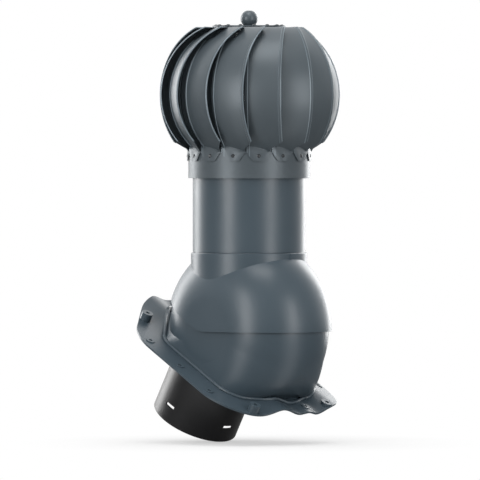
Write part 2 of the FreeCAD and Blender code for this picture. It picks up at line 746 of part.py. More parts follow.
arm_angles = [f"{45 + 360 / BRACKET_ARMS * arm}" for arm in range(BRACKET_ARMS)]
neck_holes = [radial_rod(f"neck_hole_{arm}", "rivet_radius + slip_clearance", "neck_radius - 2*neck_wall",
                         "neck_radius + 1", rivet_level, angle) for arm, angle in enumerate(arm_angles)]
hand_in(cut("neck_pipe_solid", neck_tube, *neck_holes), "neck_pipe")

# Throat bracket: a cross with upturned tabs riveted to the neck
pipe_inside = "neck_radius - neck_wall - slip_clearance"
bracket_top = "bracket_seat + bracket_thickness"
arms = [rod("bracket_hub", "bracket_hub_radius", "bracket_seat", bracket_top)]
tab_inside = f"{pipe_inside} - bracket_tab_thickness"
tab_stock = tube("tab_stock", pipe_inside, tab_inside, "bracket_seat",
                 "bracket_seat + bracket_tab_height + bracket_thickness")
for arm, angle in enumerate(arm_angles):
    bar = solid("Box", f"bracket_bar_{arm}", ("0", "-0.5 * bracket_arm_width", "bracket_seat"),
                Length=f"{pipe_inside} - 1", Width="bracket_arm_width", Height="bracket_thickness")
    block = solid("Box", f"bracket_block_{arm}",
                  ("neck_radius - bracket_tab_depth", "-0.5 * bracket_arm_width", "bracket_seat"),
                  Length="bracket_tab_depth", Width="bracket_arm_width",
                  Height="bracket_tab_height + bracket_thickness")
    arms.append(turned_copy(f"bracket_arm_{arm}", bar, angle))
    arms.append(turned_copy(f"bracket_tab_{arm}", common(f"bracket_tab_shape_{arm}", block, tab_stock), angle))
bracket_holes = [radial_rod(f"bracket_hole_{arm}", "rivet_radius + slip_clearance",
                            "neck_radius - 3*neck_wall", "neck_radius", rivet_level, angle)
                 for arm, angle in enumerate(arm_angles)]
stud_hole = rod("stud_hole", "stud_radius + slip_clearance", "bracket_seat - 1", f"{bracket_top} + 1")
hand_in(cut("bracket_solid", joined("bracket_whole", *arms), stud_hole, *bracket_holes), "throat_bracket")

bracket_rivets = []
for arm, angle in enumerate(arm_angles):
    tail_end = f"{tab_inside} - rivet_seat_gap"
    shank = radial_rod(f"bracket_rivet_shank_{arm}", "rivet_radius", f"{tail_end} - rivet_head_height",
                       "neck_radius + rivet_head_height", rivet_level, angle)
    outer_head = radial_rod(f"bracket_rivet_head_{arm}", "rivet_head_radius", "neck_radius",
                            "neck_radius + rivet_head_height", rivet_level, angle)
    inner_head = radial_rod(f"bracket_rivet_tail_{arm}", "rivet_head_radius",
                            f"{tail_end} - rivet_head_height", tail_end, rivet_level, angle)
    ring_space = tube(f"rivet_space_{arm}", "neck_radius + 2*neck_wall", "neck_radius",
                      "bracket_seat", "neck_top")
    bracket_rivets.append(joined(f"bracket_rivet_{arm}", shank, inner_head,
                                 common(f"bracket_rivet_cap_{arm}", outer_head, ring_space)))
hand_in(grouped("bracket_rivet_set", bracket_rivets), "bracket_rivets")

# Shaft, standing still on the bracket
lower_seat_top = "lower_bearing_seat + bearing_width"
upper_seat_top = "upper_bearing_seat + bearing_width"
stud_bottom = "bracket_seat - stud_length"
shaft_end = f"{upper_seat_top} + 2*circlip_thickness"
shaft = turned_body("shaft_body", [
    ("0", stud_bottom), ("stud_radius", stud_bottom), ("stud_radius", bracket_top),
    ("journal_radius", bracket_top), ("journal_radius", lower_seat_top), ("shaft_radius", lower_seat_top),
    ("shaft_radius", "upper_bearing_seat"), ("journal_radius", "upper_bearing_seat"),
    ("journal_radius", shaft_end), ("0", shaft_end)])
hand_in(shaft, "shaft")
hand_in(ring_body("washer_body", "washer_radius", "stud_radius + slip_clearance",
                  "bracket_seat - washer_thickness", "bracket_seat"), "shaft_washer")
hand_in(hexagon("shaft_nut_solid", "nut_across", "stud_radius + slip_clearance",
                "bracket_seat - washer_thickness - nut_height", "nut_height"), "shaft_nut")
journal_bore = "journal_radius + slip_clearance"
hand_in(ring_body("spacer_body", "inner_race_radius", journal_bore, bracket_top, "lower_bearing_seat"),
        "bearing_spacer")

# Bearings: the inner races stand on the shaft, the outer races turn with the rotor
for level, seat, top in (("lower", "lower_bearing_seat", lower_seat_top),
                         ("upper", "upper_bearing_seat", upper_seat_top)):
    hand_in(ring_body(f"{level}_inner_body", "inner_race_radius", journal_bore, seat, top),
            f"{level}_inner_race")
    hand_in(ring_body(f"{level}_outer_body", "bearing_outer_radius", "outer_race_radius",
                      f"{seat} + 0.5*spider_clearance", top), f"{level}_outer_race")
hand_in(ring_body("circlip_body", "circlip_radius", journal_bore, upper_seat_top,
                  f"{upper_seat_top} + circlip_thickness"), "shaft_circlip")

# Rotor blades: each is a strip of sheet rolled about a level axis, with a tab bent down onto the ring
# and a flat wedge bent in under the top disc.
pitch = 360 / amount("blade_count")
outer_bend = "blade_bend_radius"
inner_bend = "blade_bend_radius - sheet_thickness"
far_edge = "blade_inner_edge + blade_width"
tab_back = "ring_radius + slip_clearance"
tab_face = f"{tab_back} + sheet_thickness"


def strip(name, start, end):
    """The rolled strip between two edges, before its ends are cut. X is out along the blade's normal."""
    outside = solid("Cylinder", f"{name}_outside", ("blade_bend_offset", end, "equator_height"),
                    FreeCAD.Rotation(X_AXIS, 90), Radius=outer_bend, Height=f"({end}) - ({start})")
    inside = solid("Cylinder", f"{name}_inside", ("blade_bend_offset", f"{end} + 1", "equator_height"),
                   FreeCAD.Rotation(X_AXIS, 90), Radius=inner_bend, Height=f"({end}) - ({start}) + 2")
    return cut(name, outside, inside)


ring_outside = amount("ring_radius")
tab_outside = amount(tab_face)
tab_start = math.radians(amount("tab_start"))
tab_end = tab_start + math.radians(pitch) - amount("wedge_gap") / ring_outside
normal_out = amount("blade_bend_offset") + amount("blade_bend_radius")


def blade_blank():
    """Where the strip is kept, as seen along the blade's normal: edges, shoulder and sloping foot."""
    inner = amount("blade_inner_edge")
    outer = inner + amount("blade_width")
    shoulder = amount("blade_shoulder_edge")
    top = amount("blade_top")
    foot = amount("blade_foot_height")
    low = amount("tab_bottom")
    tab_far = tab_outside * math.sin(tab_end)
    corners = [(inner, low, 0), (tab_far, low, 0), (tab_far, foot, 0),
               (outer, foot + amount("blade_foot_rise"), 0), (outer, top, 0), (shoulder, top, 0),
               (shoulder, top - amount("blade_shoulder_drop - blade_shoulder_slant"), 0),
               (inner, top - amount("blade_shoulder_drop"), 0)]
    flat = prism(rounded_outline(corners), 1.2 * normal_out)
    flat.Placement = FreeCAD.Placement(Vector(), FreeCAD.Rotation(Y_AXIS, Z_AXIS, X_AXIS))
    return flat


def blade_tab():
    """The shield shaped tab that lies on the ring below the strip."""
    low = amount("tab_bottom")
    high = amount("equator_height")
    reach = 1.2 * ring_outside
    middle = (tab_start + tab_end) / 2
    half = reach * math.tan((tab_end - tab_start) / 2)
    side = tab_outside * math.sin((tab_end - tab_start) / 2)
    shoulder = amount("tab_shoulder")
    shell = Part.makeCylinder(tab_outside, high - low, Vector(0, 0, low)).cut(
        Part.makeCylinder(amount(tab_back), high - low, Vector(0, 0, low)))
    right = [(amount("tab_foot_half"), low, amount("tab_corner")), (side, shoulder, 0),
             (half, shoulder, 0), (half, high, 0)]
    left = [(-x, y, radius) for x, y, radius in reversed(right)]
    gate = prism(rounded_outline(right + left), reach)
    gate.Placement = FreeCAD.Placement(Vector(), FreeCAD.Rotation(Y_AXIS, Z_AXIS, X_AXIS))
    wedge_tip = Part.Wire(Part.makePolygon([
        Vector(), Vector(reach, -half, 0), Vector(reach, half, 0), Vector()]))
    sector = Part.Face(wedge_tip).extrude(Z_AXIS * high)
    tab = shell.common(gate).common(sector)
    tab.rotate(Vector(), Z_AXIS, math.degrees(middle))
    below_strip = Part.makeCylinder(amount(outer_bend) - amount("sheet_thickness") / 2, 4 * ring_outside,
                                    Vector(amount("blade_bend_offset"), -2 * ring_outside,
                                           amount("equator_height")), Y_AXIS)
    return tab.cut(below_strip)


def blade_wedge():
    """The flat wedge that the strip's top is bent into, one pitch wide."""
    thickness = amount("sheet_thickness")
    top = amount("blade_top")
    level = top - amount("equator_height")
    bend = amount("blade_bend_offset") + math.sqrt(amount("blade_bend_radius") ** 2 - level ** 2)
    start = math.radians(amount("wedge_start"))
    end = start + math.radians(pitch) - amount("wedge_gap") / amount("disc_radius")
    inner = amount("wedge_inner_radius")
    outline = [Vector(bend, bend * math.tan(start), 0), Vector(bend, bend * math.tan(end), 0),
               Vector(inner * math.cos(end), inner * math.sin(end), 0),
               Vector(inner * math.cos(start), inner * math.sin(start), 0)]
    wire = Part.makePolygon(outline + outline[:1])
    wire.translate(Z_AXIS * (top - thickness))
    return Part.Face(wire).extrude(Z_AXIS * thickness)


wide_strip = strip("blade_strip", "blade_inner_edge", far_edge)
ring_core = rod("ring_core", "ring_radius + 0.5 * sheet_thickness", "0", "ring_bottom + 2 * ring_height")
blade_curve = cut("blade_curve", common("blade_kept", wide_strip, shaped("blade_blank", blade_blank())),
                  ring_core)
rivet_spot = ("disc_rivet_circle", "0")
blade_whole = joined("blade_whole", blade_curve, shaped("blade_tab", blade_tab()),
                     shaped("blade_wedge", blade_wedge()))
tab_hole = radial_rod("tab_hole", "rotor_rivet_radius + slip_clearance", "ring_radius - 2",
                      "ring_radius + 2", "tab_rivet_height", "tab_rivet_turn")
disc_hole = turned_copy("disc_hole", rod("disc_hole_plain", "rotor_rivet_radius + slip_clearance",
                                         "blade_top - 5", "blade_top + 5", rivet_spot),
                        "tab_rivet_turn + 360 / blade_count")
master_blade = cut("master_blade", blade_whole, tab_hole, disc_hole)
turns = [f"blade_first_normal + 360 / blade_count * {index}" for index in range(int(amount("blade_count")))]
for index, turn in enumerate(turns, 1):
    blade = grouped(f"blade_{index:02d}", [turned_copy(f"blade_turned_{index:02d}", master_blade, turn)])
    hand_in(blade, f"blade_{index:02d}")

# Base ring of the rotor
ring_top = "ring_bottom + ring_height"
ring_holes = [radial_rod(f"ring_hole_{index}", "rotor_rivet_radius + slip_clearance", "ring_radius - 3",
                         "ring_radius + 1", "tab_rivet_height", f"{turn} + tab_rivet_turn")
              for index, turn in enumerate(turns)]
ring_tube = tube("ring_tube", "ring_radius", "ring_radius - ring_wall", "ring_bottom", ring_top)
hand_in(cut("ring_solid", ring_tube, *ring_holes), "base_ring")

# Rivets on the ring
spider_every = int(amount("blade_count")) // SPIDER_ARMS
tab_rivets = []
for index, turn in enumerate(turns):
    inside = "ring_radius - ring_wall"
    if index % spider_every == 0:
        inside = "ring_radius - ring_wall - spider_clearance - spider_tab_thickness"
    angle = f"{turn} + tab_rivet_turn"
    tail_end = f"{inside} - rivet_seat_gap"
    shank = radial_rod(f"tab_shank_{index}", "rotor_rivet_radius", f"{tail_end} - rotor_rivet_tail",
                       f"{tab_face} + rotor_rivet_height", "tab_rivet_height", angle)
    head = radial_rod(f"tab_head_{index}", "rotor_rivet_head", tab_face,
                      f"{tab_face} + rotor_rivet_height", "tab_rivet_height", angle)
    tail = radial_rod(f"tab_tail_{index}", "rotor_rivet_head", f"{tail_end} - rotor_rivet_tail",
                      tail_end, "tab_rivet_height", angle)
    tab_rivets.append(joined(f"tab_rivet_{index}", shank, head, tail))
hand_in(grouped("tab_rivet_set", tab_rivets), "ring_rivets")

# Top disc, under disc and their rivets
disc_bottom = "blade_top"
disc_top = "blade_top + disc_thickness"
under_top = "blade_top - sheet_thickness"
under_bottom = f"{under_top} - under_disc_thickness"
stud_space = "knob_stud_radius + slip_clearance"
rivet_holes = [turned_copy(f"disc_rivet_hole_{index}",
                           rod(f"disc_rivet_hole_plain_{index}", "rotor_rivet_radius + slip_clearance",
                               f"{under_bottom} - 1", f"{disc_top} + 1", rivet_spot),
                           f"{turn} + tab_rivet_turn + 360 / blade_count")
               for index, turn in enumerate(turns)]
hand_in(cut("top_disc_solid", tube("top_disc_tube", "disc_radius", stud_space, disc_bottom, disc_top),
            *rivet_holes), "top_disc")
housing_screw_spots = [f"{360 / 3 * screw}" for screw in range(3)]
under_holes = [turned_copy(f"under_screw_hole_{screw}",
                           rod(f"under_screw_hole_plain_{screw}", "housing_screw_radius + slip_clearance",
                               f"{under_bottom} - 1", f"{under_top} + 1", ("housing_screw_circle", "0")), angle)
               for screw, angle in enumerate(housing_screw_spots)]
hand_in(cut("under_disc_solid", tube("under_disc_tube", "under_disc_radius", stud_space, under_bottom,
                                     under_top), *rivet_holes, *under_holes), "under_disc")
disc_rivets = []
for index, turn in enumerate(turns):
    angle = f"{turn} + tab_rivet_turn + 360 / blade_count"
    shank = rod(f"disc_shank_{index}", "rotor_rivet_radius", f"{under_bottom} - rotor_rivet_tail",
                f"{disc_top} + rotor_rivet_height", rivet_spot)
    head = rod(f"disc_head_{index}", "rotor_rivet_head", disc_top, f"{disc_top} + rotor_rivet_height",
               rivet_spot)
    tail = rod(f"disc_tail_{index}", "rotor_rivet_head", f"{under_bottom} - rotor_rivet_tail",
               under_bottom, rivet_spot)
    disc_rivets.append(turned_copy(f"disc_rivet_{index}", joined(f"disc_rivet_plain_{index}", shank, head,
                                                                 tail), angle))
hand_in(grouped("disc_rivet_set", disc_rivets), "disc_rivets")

# Knob, screwed through the discs
knob_low = disc_top
ball = solid("Sphere", "knob_ball", ("0", "0", "knob_centre"), Radius="knob_radius")
ball_space = rod("knob_space", "knob_radius + 1", knob_low, "knob_flat")
knob_collar = rod("knob_collar", "knob_collar_radius", knob_low, f"{knob_low} + knob_collar_height")
knob_stud = rod("knob_stud", "knob_stud_radius", f"{under_bottom} - knob_nut_height", "knob_centre")
hand_in(joined("knob_solid", common("knob_cut_ball", ball, ball_space), knob_collar, knob_stud), "top_knob")
hand_in(hexagon("knob_nut_solid", "knob_nut_across", stud_space, f"{under_bottom} - knob_nut_height",
                "knob_nut_height"), "knob_nut")

# Bearing housing under the discs, and its screws
cup_radius = "bearing_outer_radius + slip_clearance + housing_wall"
cup_bottom = "upper_bearing_seat - 2"
housing = turned_body("housing_body", [
    ("bearing_outer_radius + slip_clearance", cup_bottom), (cup_radius, cup_bottom),
    (cup_radius, f"{under_bottom} - housing_flange_thickness"),
    ("housing_flange_radius", f"{under_bottom} - housing_flange_thickness"),
    ("housing_flange_radius", under_bottom), ("housing_shoulder_radius", under_bottom),
    ("housing_shoulder_radius", upper_seat_top),
    ("bearing_outer_radius + slip_clearance", upper_seat_top)])
housing_holes = [turned_copy(f"housing_hole_{screw}",
                             rod(f"housing_hole_plain_{screw}", "housing_screw_radius + slip_clearance",
                                 f"{under_bottom} - housing_flange_thickness - 1", f"{under_bottom} + 1",
                                 ("housing_screw_circle", "0")), angle)
                 for screw, angle in enumerate(housing_screw_spots)]
hand_in(cut("housing_solid", housing, *housing_holes), "bearing_housing")
housing_screws = []
for screw, angle in enumerate(housing_screw_spots):
    shank = rod(f"housing_shank_{screw}", "housing_screw_radius",
                f"{under_bottom} - housing_flange_thickness - housing_head_height", under_top,
                ("housing_screw_circle", "0"))
    head = rod(f"housing_head_{screw}", "housing_head_radius",
               f"{under_bottom} - housing_flange_thickness - housing_head_height",
               f"{under_bottom} - housing_flange_thickness", ("housing_screw_circle", "0"))
    housing_screws.append(turned_copy(f"housing_screw_{screw}",
                                      joined(f"housing_screw_plain_{screw}", shank, head), angle))
hand_in(grouped("housing_screw_set", housing_screws), "housing_screws")

# Lower spider: hub round the lower bearing, arms and tabs on the ring
spider_reach = "ring_radius - ring_wall - spider_clearance"
hub_low = "lower_bearing_seat - 1"
spider_parts = [rod("spider_hub", "bearing_outer_radius + slip_clearance + spider_hub_wall", hub_low,
                    f"{hub_low} + spider_hub_height")]
spider_stock = tube("spider_stock", spider_reach, f"{spider_reach} - spider_tab_thickness", hub_low,
                    "spider_tab_top")
spider_holes = [rod("spider_bore", "bearing_outer_radius + slip_clearance", f"{hub_low} - 1",
                    lower_seat_top),
                rod("spider_mouth", "housing_shoulder_radius", hub_low, f"{hub_low} + spider_hub_height + 1")]
for index in range(0, int(amount("blade_count")), spider_every):
    angle = f"{turns[index]} + tab_rivet_turn"
    bar = solid("Box", f"spider_bar_{index}", ("0", "-0.5 * spider_arm_width", hub_low),
                Length=f"{spider_reach} - 1", Width="spider_arm_width", Height="spider_thickness")
    block = solid("Box", f"spider_block_{index}",
                  ("ring_radius - spider_tab_depth", "-0.5 * spider_arm_width", hub_low),
                  Length="spider_tab_depth", Width="spider_arm_width", Height=f"spider_tab_top - ({hub_low})")
    spider_parts.append(turned_copy(f"spider_arm_{index}", bar, angle))
    spider_parts.append(turned_copy(f"spider_tab_{index}",
                                    common(f"spider_tab_shape_{index}", block, spider_stock), angle))
    spider_holes.append(radial_rod(f"spider_hole_{index}", "rotor_rivet_radius + slip_clearance",
                                   "ring_radius - 5", "ring_radius", "tab_rivet_height", angle))
hand_in(cut("spider_solid", joined("spider_whole", *spider_parts), *spider_holes), "lower_spider")

doc.recompute()
for thing in doc.Objects:
    if "Invalid" in thing.State or "Error" in thing.State:
        raise RuntimeError(f"{thing.Name} could not be built")
os.makedirs("parts", exist_ok=True)
for node in nodes:
    if node.Shape.isNull() or not node.Shape.isValid():
        raise RuntimeError(f"{node.Label} has no valid shape")
for node in nodes:
    node.Shape.exportStep(f"parts/{node.Label}.step")
    box = node.Shape.BoundBox
    print(f"{node.Label}: {len(node.Shape.Solids)} solids, {node.Shape.Volume / 1000:.1f} cm3, "
          f"x {box.XMin:.1f} to {box.XMax:.1f}, y {box.YMin:.1f} to {box.YMax:.1f}, "
          f"z {box.ZMin:.1f} to {box.ZMax:.1f}")
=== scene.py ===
# %% [markdown]
# # A roof turbine ventilator
# This part sits on a tiled roof. A moulded base shell carries a hood that tilts, a neck pipe stands on the
# hood, and a ball of bent sheet blades spins on top in the wind. The CAD model already holds every solid at
# its real place, so this lesson only loads it, dresses it, and makes again the few pieces whose real surface
# has more to show than a plain solid has.

# %% Load the packed model
import json
import math

import bmesh
import bpy
from mathutils import Matrix, Vector
from mathutils.bvhtree import BVHTree


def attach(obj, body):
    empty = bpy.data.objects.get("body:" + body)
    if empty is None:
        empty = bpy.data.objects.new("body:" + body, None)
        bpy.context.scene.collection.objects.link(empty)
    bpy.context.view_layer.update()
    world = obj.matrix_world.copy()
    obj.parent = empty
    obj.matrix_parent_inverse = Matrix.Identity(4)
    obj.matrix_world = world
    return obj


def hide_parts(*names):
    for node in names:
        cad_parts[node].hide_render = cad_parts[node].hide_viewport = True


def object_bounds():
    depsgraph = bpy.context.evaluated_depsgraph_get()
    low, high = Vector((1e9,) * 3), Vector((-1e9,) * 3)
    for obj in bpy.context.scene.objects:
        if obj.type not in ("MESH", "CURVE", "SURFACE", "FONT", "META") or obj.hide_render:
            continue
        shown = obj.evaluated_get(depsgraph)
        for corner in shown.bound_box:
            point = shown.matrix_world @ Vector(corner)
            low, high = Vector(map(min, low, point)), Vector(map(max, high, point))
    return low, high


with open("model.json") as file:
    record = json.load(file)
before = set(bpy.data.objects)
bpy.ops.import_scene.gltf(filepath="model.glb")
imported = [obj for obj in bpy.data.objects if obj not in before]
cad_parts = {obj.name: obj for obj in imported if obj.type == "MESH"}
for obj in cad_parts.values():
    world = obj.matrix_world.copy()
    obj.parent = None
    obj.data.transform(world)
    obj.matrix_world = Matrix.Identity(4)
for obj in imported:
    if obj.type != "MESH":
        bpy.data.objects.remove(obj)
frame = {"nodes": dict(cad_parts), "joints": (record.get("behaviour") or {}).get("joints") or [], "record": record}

cad_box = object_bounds()
nodes = frame["nodes"]
hood_joint = next(joint for joint in frame["joints"] if joint["name"] == "hood_tilt")
TILT_CENTRE = Vector(hood_joint["pos_m"])
MM = 0.001
print("nodes", len(nodes), "box", [[round(value, 4) for value in corner] for corner in cad_box])

# %% [markdown]
# ## Camera
# The photograph was taken level with the neck, from a corner of the flange, through a long lens. A long lens
# flattens the view, so the camera stands ten metres off. Its frame is set by what it sees at that distance,
# which is simpler to reason about than a focal length.

# %% Camera
AZIMUTH = math.radians(-45)
ELEVATION = math.radians(0.8)
CAMERA_DISTANCE = 10.0
FRAME_WIDTH = 0.680
SENSOR_WIDTH = 36.0
AIM_LEFT = 13.0 * MM
AIM_UP = 124.7 * MM
CAMERA_REACH = 100
right = Vector((math.cos(AZIMUTH), math.sin(AZIMUTH), 0))
towards = Vector((math.sin(AZIMUTH) * math.cos(ELEVATION), -math.cos(AZIMUTH) * math.cos(ELEVATION),
                  math.sin(ELEVATION)))
upwards = towards.cross(right)
target = TILT_CENTRE - right * AIM_LEFT + upwards * AIM_UP

camera_data = bpy.data.cameras.new("camera")
camera_data.sensor_width = SENSOR_WIDTH
camera_data.lens = SENSOR_WIDTH * CAMERA_DISTANCE / FRAME_WIDTH
camera_data.clip_end = CAMERA_REACH
camera = bpy.data.objects.new("camera", camera_data)
camera.location = target + towards * CAMERA_DISTANCE
camera.rotation_euler = towards.to_track_quat("Z", "Y").to_euler()
bpy.context.scene.collection.objects.link(camera)
bpy.context.scene.camera = camera
bpy.context.scene.view_settings.view_transform = "Standard"
print("lens", round(camera_data.lens), "mm")

# %% [markdown]
# ## Small helpers for node trees
# Shaders and Geometry Nodes are both trees of small boxes. A few helpers keep their making short: one adds a
# box and fills its sockets by name, and another lets ordinary arithmetic in Python lay down the boxes of a
# formula.


# %% Node helpers
def add_node(tree, kind, attributes=None, **sockets):
    """A new node. Underscores in a socket's name stand for spaces. A value may be an output or a Field."""
    node = tree.nodes.new(kind)
    for name, value in (attributes or {}).items():
        setattr(node, name, value)
    for name, value in sockets.items():
        fill(tree, node.inputs[name.replace("_", " ")], value)
    return node


def fill(tree, socket, value):
    """Link a socket to a node's output, or set it to a plain value."""
    value = value.socket if isinstance(value, Field) else value
    if isinstance(value, bpy.types.NodeSocket):
        tree.links.new(value, socket)
    else:
        socket.default_value = value


class Field:
    """A number in a node tree that arithmetic builds on."""

    def __init__(self, tree, socket):
        self.tree = tree
        self.socket = socket

    def math(self, operation, *others):
        node = add_node(self.tree, "ShaderNodeMath", {"operation": operation})
        for socket, value in zip(node.inputs, (self, *others)):
            fill(self.tree, socket, value)
        return Field(self.tree, node.outputs[0])

    def __add__(self, other):
        return self.math("ADD", other)

    def __sub__(self, other):
        return self.math("SUBTRACT", other)

    def __mul__(self, other):
        return self.math("MULTIPLY", other)

    def __truediv__(self, other):
        return self.math("DIVIDE", other)

    def __neg__(self):
        return self * -1

    def root(self):
        return self.math("SQRT")

    def at_least(self, limit):
        return self.math("MAXIMUM", limit)

    def at_most(self, limit):
        return self.math("MINIMUM", limit)

    def over(self, limit):
        return self.math("GREATER_THAN", limit)

    def under(self, limit):
        return self.math("LESS_THAN", limit)

    def share(self):
        """The number held between 0 and 1."""
        return self.at_least(0).at_most(1)

    def rest(self):
        """What is missing to 1."""
        return self * -1 + 1

    def towards(self, other, share):
        return self + (other - self) * share


print("a Field knows", [name for name in vars(Field) if not name.startswith("_")])


# %% Vector helpers
def vector_of(tree, x, y, z):
    return add_node(tree, "ShaderNodeCombineXYZ", X=x, Y=y, Z=z).outputs[0]


def parts_of(tree, vector):
    """The X, Y and Z of a vector, each as a Field."""
    return [Field(tree, socket) for socket in add_node(tree, "ShaderNodeSeparateXYZ", Vector=vector).outputs]


def along(tree, vector, direction):
    """How far a vector runs along a fixed direction."""
    node = add_node(tree, "ShaderNodeVectorMath", {"operation": "DOT_PRODUCT"}, Vector=vector)
    node.inputs[1].default_value = direction
    return Field(tree, node.outputs["Value"])


def ray_kinds(tree):
    """Whether a ray comes from the camera, and whether it comes from a shiny or clear surface."""
    paths = add_node(tree, "ShaderNodeLightPath")
    camera_ray, shiny, clear = (Field(tree, paths.outputs[name])
                                for name in ("Is Camera Ray", "Is Glossy Ray", "Is Transmission Ray"))
    return camera_ray, shiny.at_least(clear)


print("helpers ready")

# %% [markdown]
# ## Studio
# The object stands in a pale studio. Two tall soft lamps beside the camera leave two soft upright bands on
# every round part, one hangs overhead, and two behind the object light its edges. The camera sees the world
# as plain white. Reflections see it dim in front of the object and bright behind it, and the light that it
# casts is mostly dimmer than white, so the object isn't flooded.

# %% World
AMBIENT = 0.58
AMBIENT_RISE = 0.45
REFLECTED_FRONT = 0.42
REFLECTED_BACK = 1.6
BACK_START = 0.1
BACK_SPREAD = 0.5

world = bpy.data.worlds.new("pale_studio")
bpy.context.scene.world = world
world.use_nodes = True
sky = world.node_tree
sky.nodes.clear()
seen, mirrored = ray_kinds(sky)
way = add_node(sky, "ShaderNodeTexCoord").outputs["Generated"]
back = ((along(sky, way, -towards) - BACK_START) / BACK_SPREAD).share()
reflected = back * (REFLECTED_BACK - REFLECTED_FRONT) + REFLECTED_FRONT
ambient = parts_of(sky, way)[2] * AMBIENT_RISE + AMBIENT
strength = ambient.towards(seen, seen) + mirrored * (reflected - ambient)
backdrop = add_node(sky, "ShaderNodeBackground", Color=(1, 1, 1, 1), Strength=strength)
sky.links.new(backdrop.outputs[0], add_node(sky, "ShaderNodeOutputWorld").inputs["Surface"])
print("ambient", AMBIENT, "reflected", REFLECTED_FRONT, "to", REFLECTED_BACK)

# %% Lamps
LAMP_TARGET = TILT_CENTRE + Vector((0, 0, 0.2))
LEFT_TURN = -42
RIGHT_TURN = 44


def beside_camera(degrees):
    """The level direction from the object that lies at an angle beside the camera's."""
    angle = AZIMUTH - math.pi / 2 + math.radians(degrees)
    return Vector((math.cos(angle), math.sin(angle), 0))


def lamp(name, turn, height, distance, width, tall, watts):
    """A soft rectangle of light at an angle beside the camera, facing the neck."""
    light = bpy.data.lights.new(name, "AREA")
    light.shape = "RECTANGLE"
    light.size = width
    light.size_y = tall
    light.energy = watts
    thing = bpy.data.objects.new(name, light)
    thing.location = LAMP_TARGET + beside_camera(turn) * distance + Vector((0, 0, height))
    thing.rotation_euler = (thing.location - LAMP_TARGET).to_track_quat("Z", "Y").to_euler()
    bpy.context.scene.collection.objects.link(thing)
    return thing


lamps = [
    lamp("left_softbox", LEFT_TURN, height=0.1, distance=1.8, width=0.55, tall=1.6, watts=19),
    lamp("right_softbox", RIGHT_TURN, height=0.1, distance=1.8, width=0.48, tall=1.6, watts=14),
    lamp("top_softbox", -10, height=1.8, distance=0.5, width=1.0, tall=1.0, watts=14),
    lamp("left_rim", -130, height=0.2, distance=1.8, width=0.7, tall=1.6, watts=20),
    lamp("right_rim", 148, height=0.2, distance=1.8, width=0.7, tall=1.6, watts=18),
]
print("lamps", [thing.name for thing in lamps])

# %% [markdown]
# The floor keeps the object's shadow near it, and runs out to white further off. Mirrored in the object it is
# dark, apart from a bright pool in front of each softbox, as a table that shines a little would show.

# %% Floor sizes
FLOOR_RADIUS = 12.0
FLOOR_SEGMENTS = 96
FLOOR_GAP = 0.2 * MM
SHADOW_START = 0.08
SHADOW_END = 0.34
LEAST_WHITE = 0.45
FLOOR_PALE = 0.62
FLOOR_BOUNCE = 0.3
FLOOR_MIRRORED = 0.16
POOL = 1.5
POOL_WIDTH = math.radians(17)
print("shadow fades from", SHADOW_START, "to", SHADOW_END, "m")


# %% The floor's paint
def floor_finish():
    """White far off, and near the object a pale matt that takes its shadow."""
    material = bpy.data.materials.new("floor_paint")
    material.use_nodes = True
    tree = material.node_tree
    tree.nodes.clear()
    place = add_node(tree, "ShaderNodeTexCoord").outputs["Object"]
    distance = add_node(tree, "ShaderNodeVectorMath", {"operation": "LENGTH"}, Vector=place).outputs["Value"]
    faded = ((Field(tree, distance) - SHADOW_START) / (SHADOW_END - SHADOW_START)).share()
    faded = faded * (1 - LEAST_WHITE) + LEAST_WHITE
    seen, mirrored = ray_kinds(tree)
    pale = seen * (FLOOR_PALE - FLOOR_BOUNCE) + FLOOR_BOUNCE
    lit = add_node(tree, "ShaderNodeBsdfDiffuse", Color=vector_of(tree, pale, pale, pale))
    heading = add_node(tree, "ShaderNodeVectorMath", {"operation": "NORMALIZE"}, Vector=place).outputs[0]
    pools = FLOOR_MIRRORED
    for turn in (LEFT_TURN, RIGHT_TURN):
        aside = along(tree, heading, beside_camera(turn)).math("ARCCOSINE") / POOL_WIDTH
        pools = (aside * aside).rest().share() * POOL + pools
    white = add_node(tree, "ShaderNodeEmission", Color=(1, 1, 1, 1), Strength=seen + mirrored * pools)
    blend = add_node(tree, "ShaderNodeMixShader")
    shown = faded * seen.at_least(mirrored)
    for socket, value in zip(blend.inputs, (shown, lit.outputs[0], white.outputs[0])):
        fill(tree, socket, value)
    tree.links.new(blend.outputs[0], add_node(tree, "ShaderNodeOutputMaterial").inputs["Surface"])
    return material


# %% Floor
floor_mesh = bpy.data.meshes.new("floor")
work = bmesh.new()
bmesh.ops.create_circle(work, cap_ends=True, segments=FLOOR_SEGMENTS, radius=FLOOR_RADIUS)
work.to_mesh(floor_mesh)
work.free()
floor_mesh.materials.append(floor_finish())
floor = bpy.data.objects.new("floor", floor_mesh)
bpy.context.scene.collection.objects.link(floor)
floor.location = (TILT_CENTRE.x, TILT_CENTRE.y, cad_box[0][2] - FLOOR_GAP)
print("floor at", round(floor.location.z, 4))

# %% [markdown]
# ## Finishes
# Nearly the whole object is one graphite grey, yet it is not one material. The base, hood and neck are
# moulded plastic with a fine spark grain. The rotor is thin sheet with a baked coating that flows into a very
# fine orange peel, and its colour is raised along the sheet's hems as a painted highlight. One builder takes
# the colour, the gloss and the size of the grain. It lays a slow variation under a fine one, in metres on the
# object itself, so that nothing slides when a part turns.

# %% Values of every finish
MOTTLE_SCALE = 14
MOTTLE_GLOSS = 0.12
GRAIN_GLOSS = 0.05
GRAIN_STRENGTH = 0.6
SPANGLE_GRAINS = 6
print("mottling about", round(1000 / MOTTLE_SCALE), "mm wide")


# %% Finish builder
def noise(tree, place, scale, detail):
    """Soft random values about one half."""
    node = add_node(tree, "ShaderNodeTexNoise", Vector=place, Scale=scale, Detail=detail)
    return Field(tree, node.outputs[0])


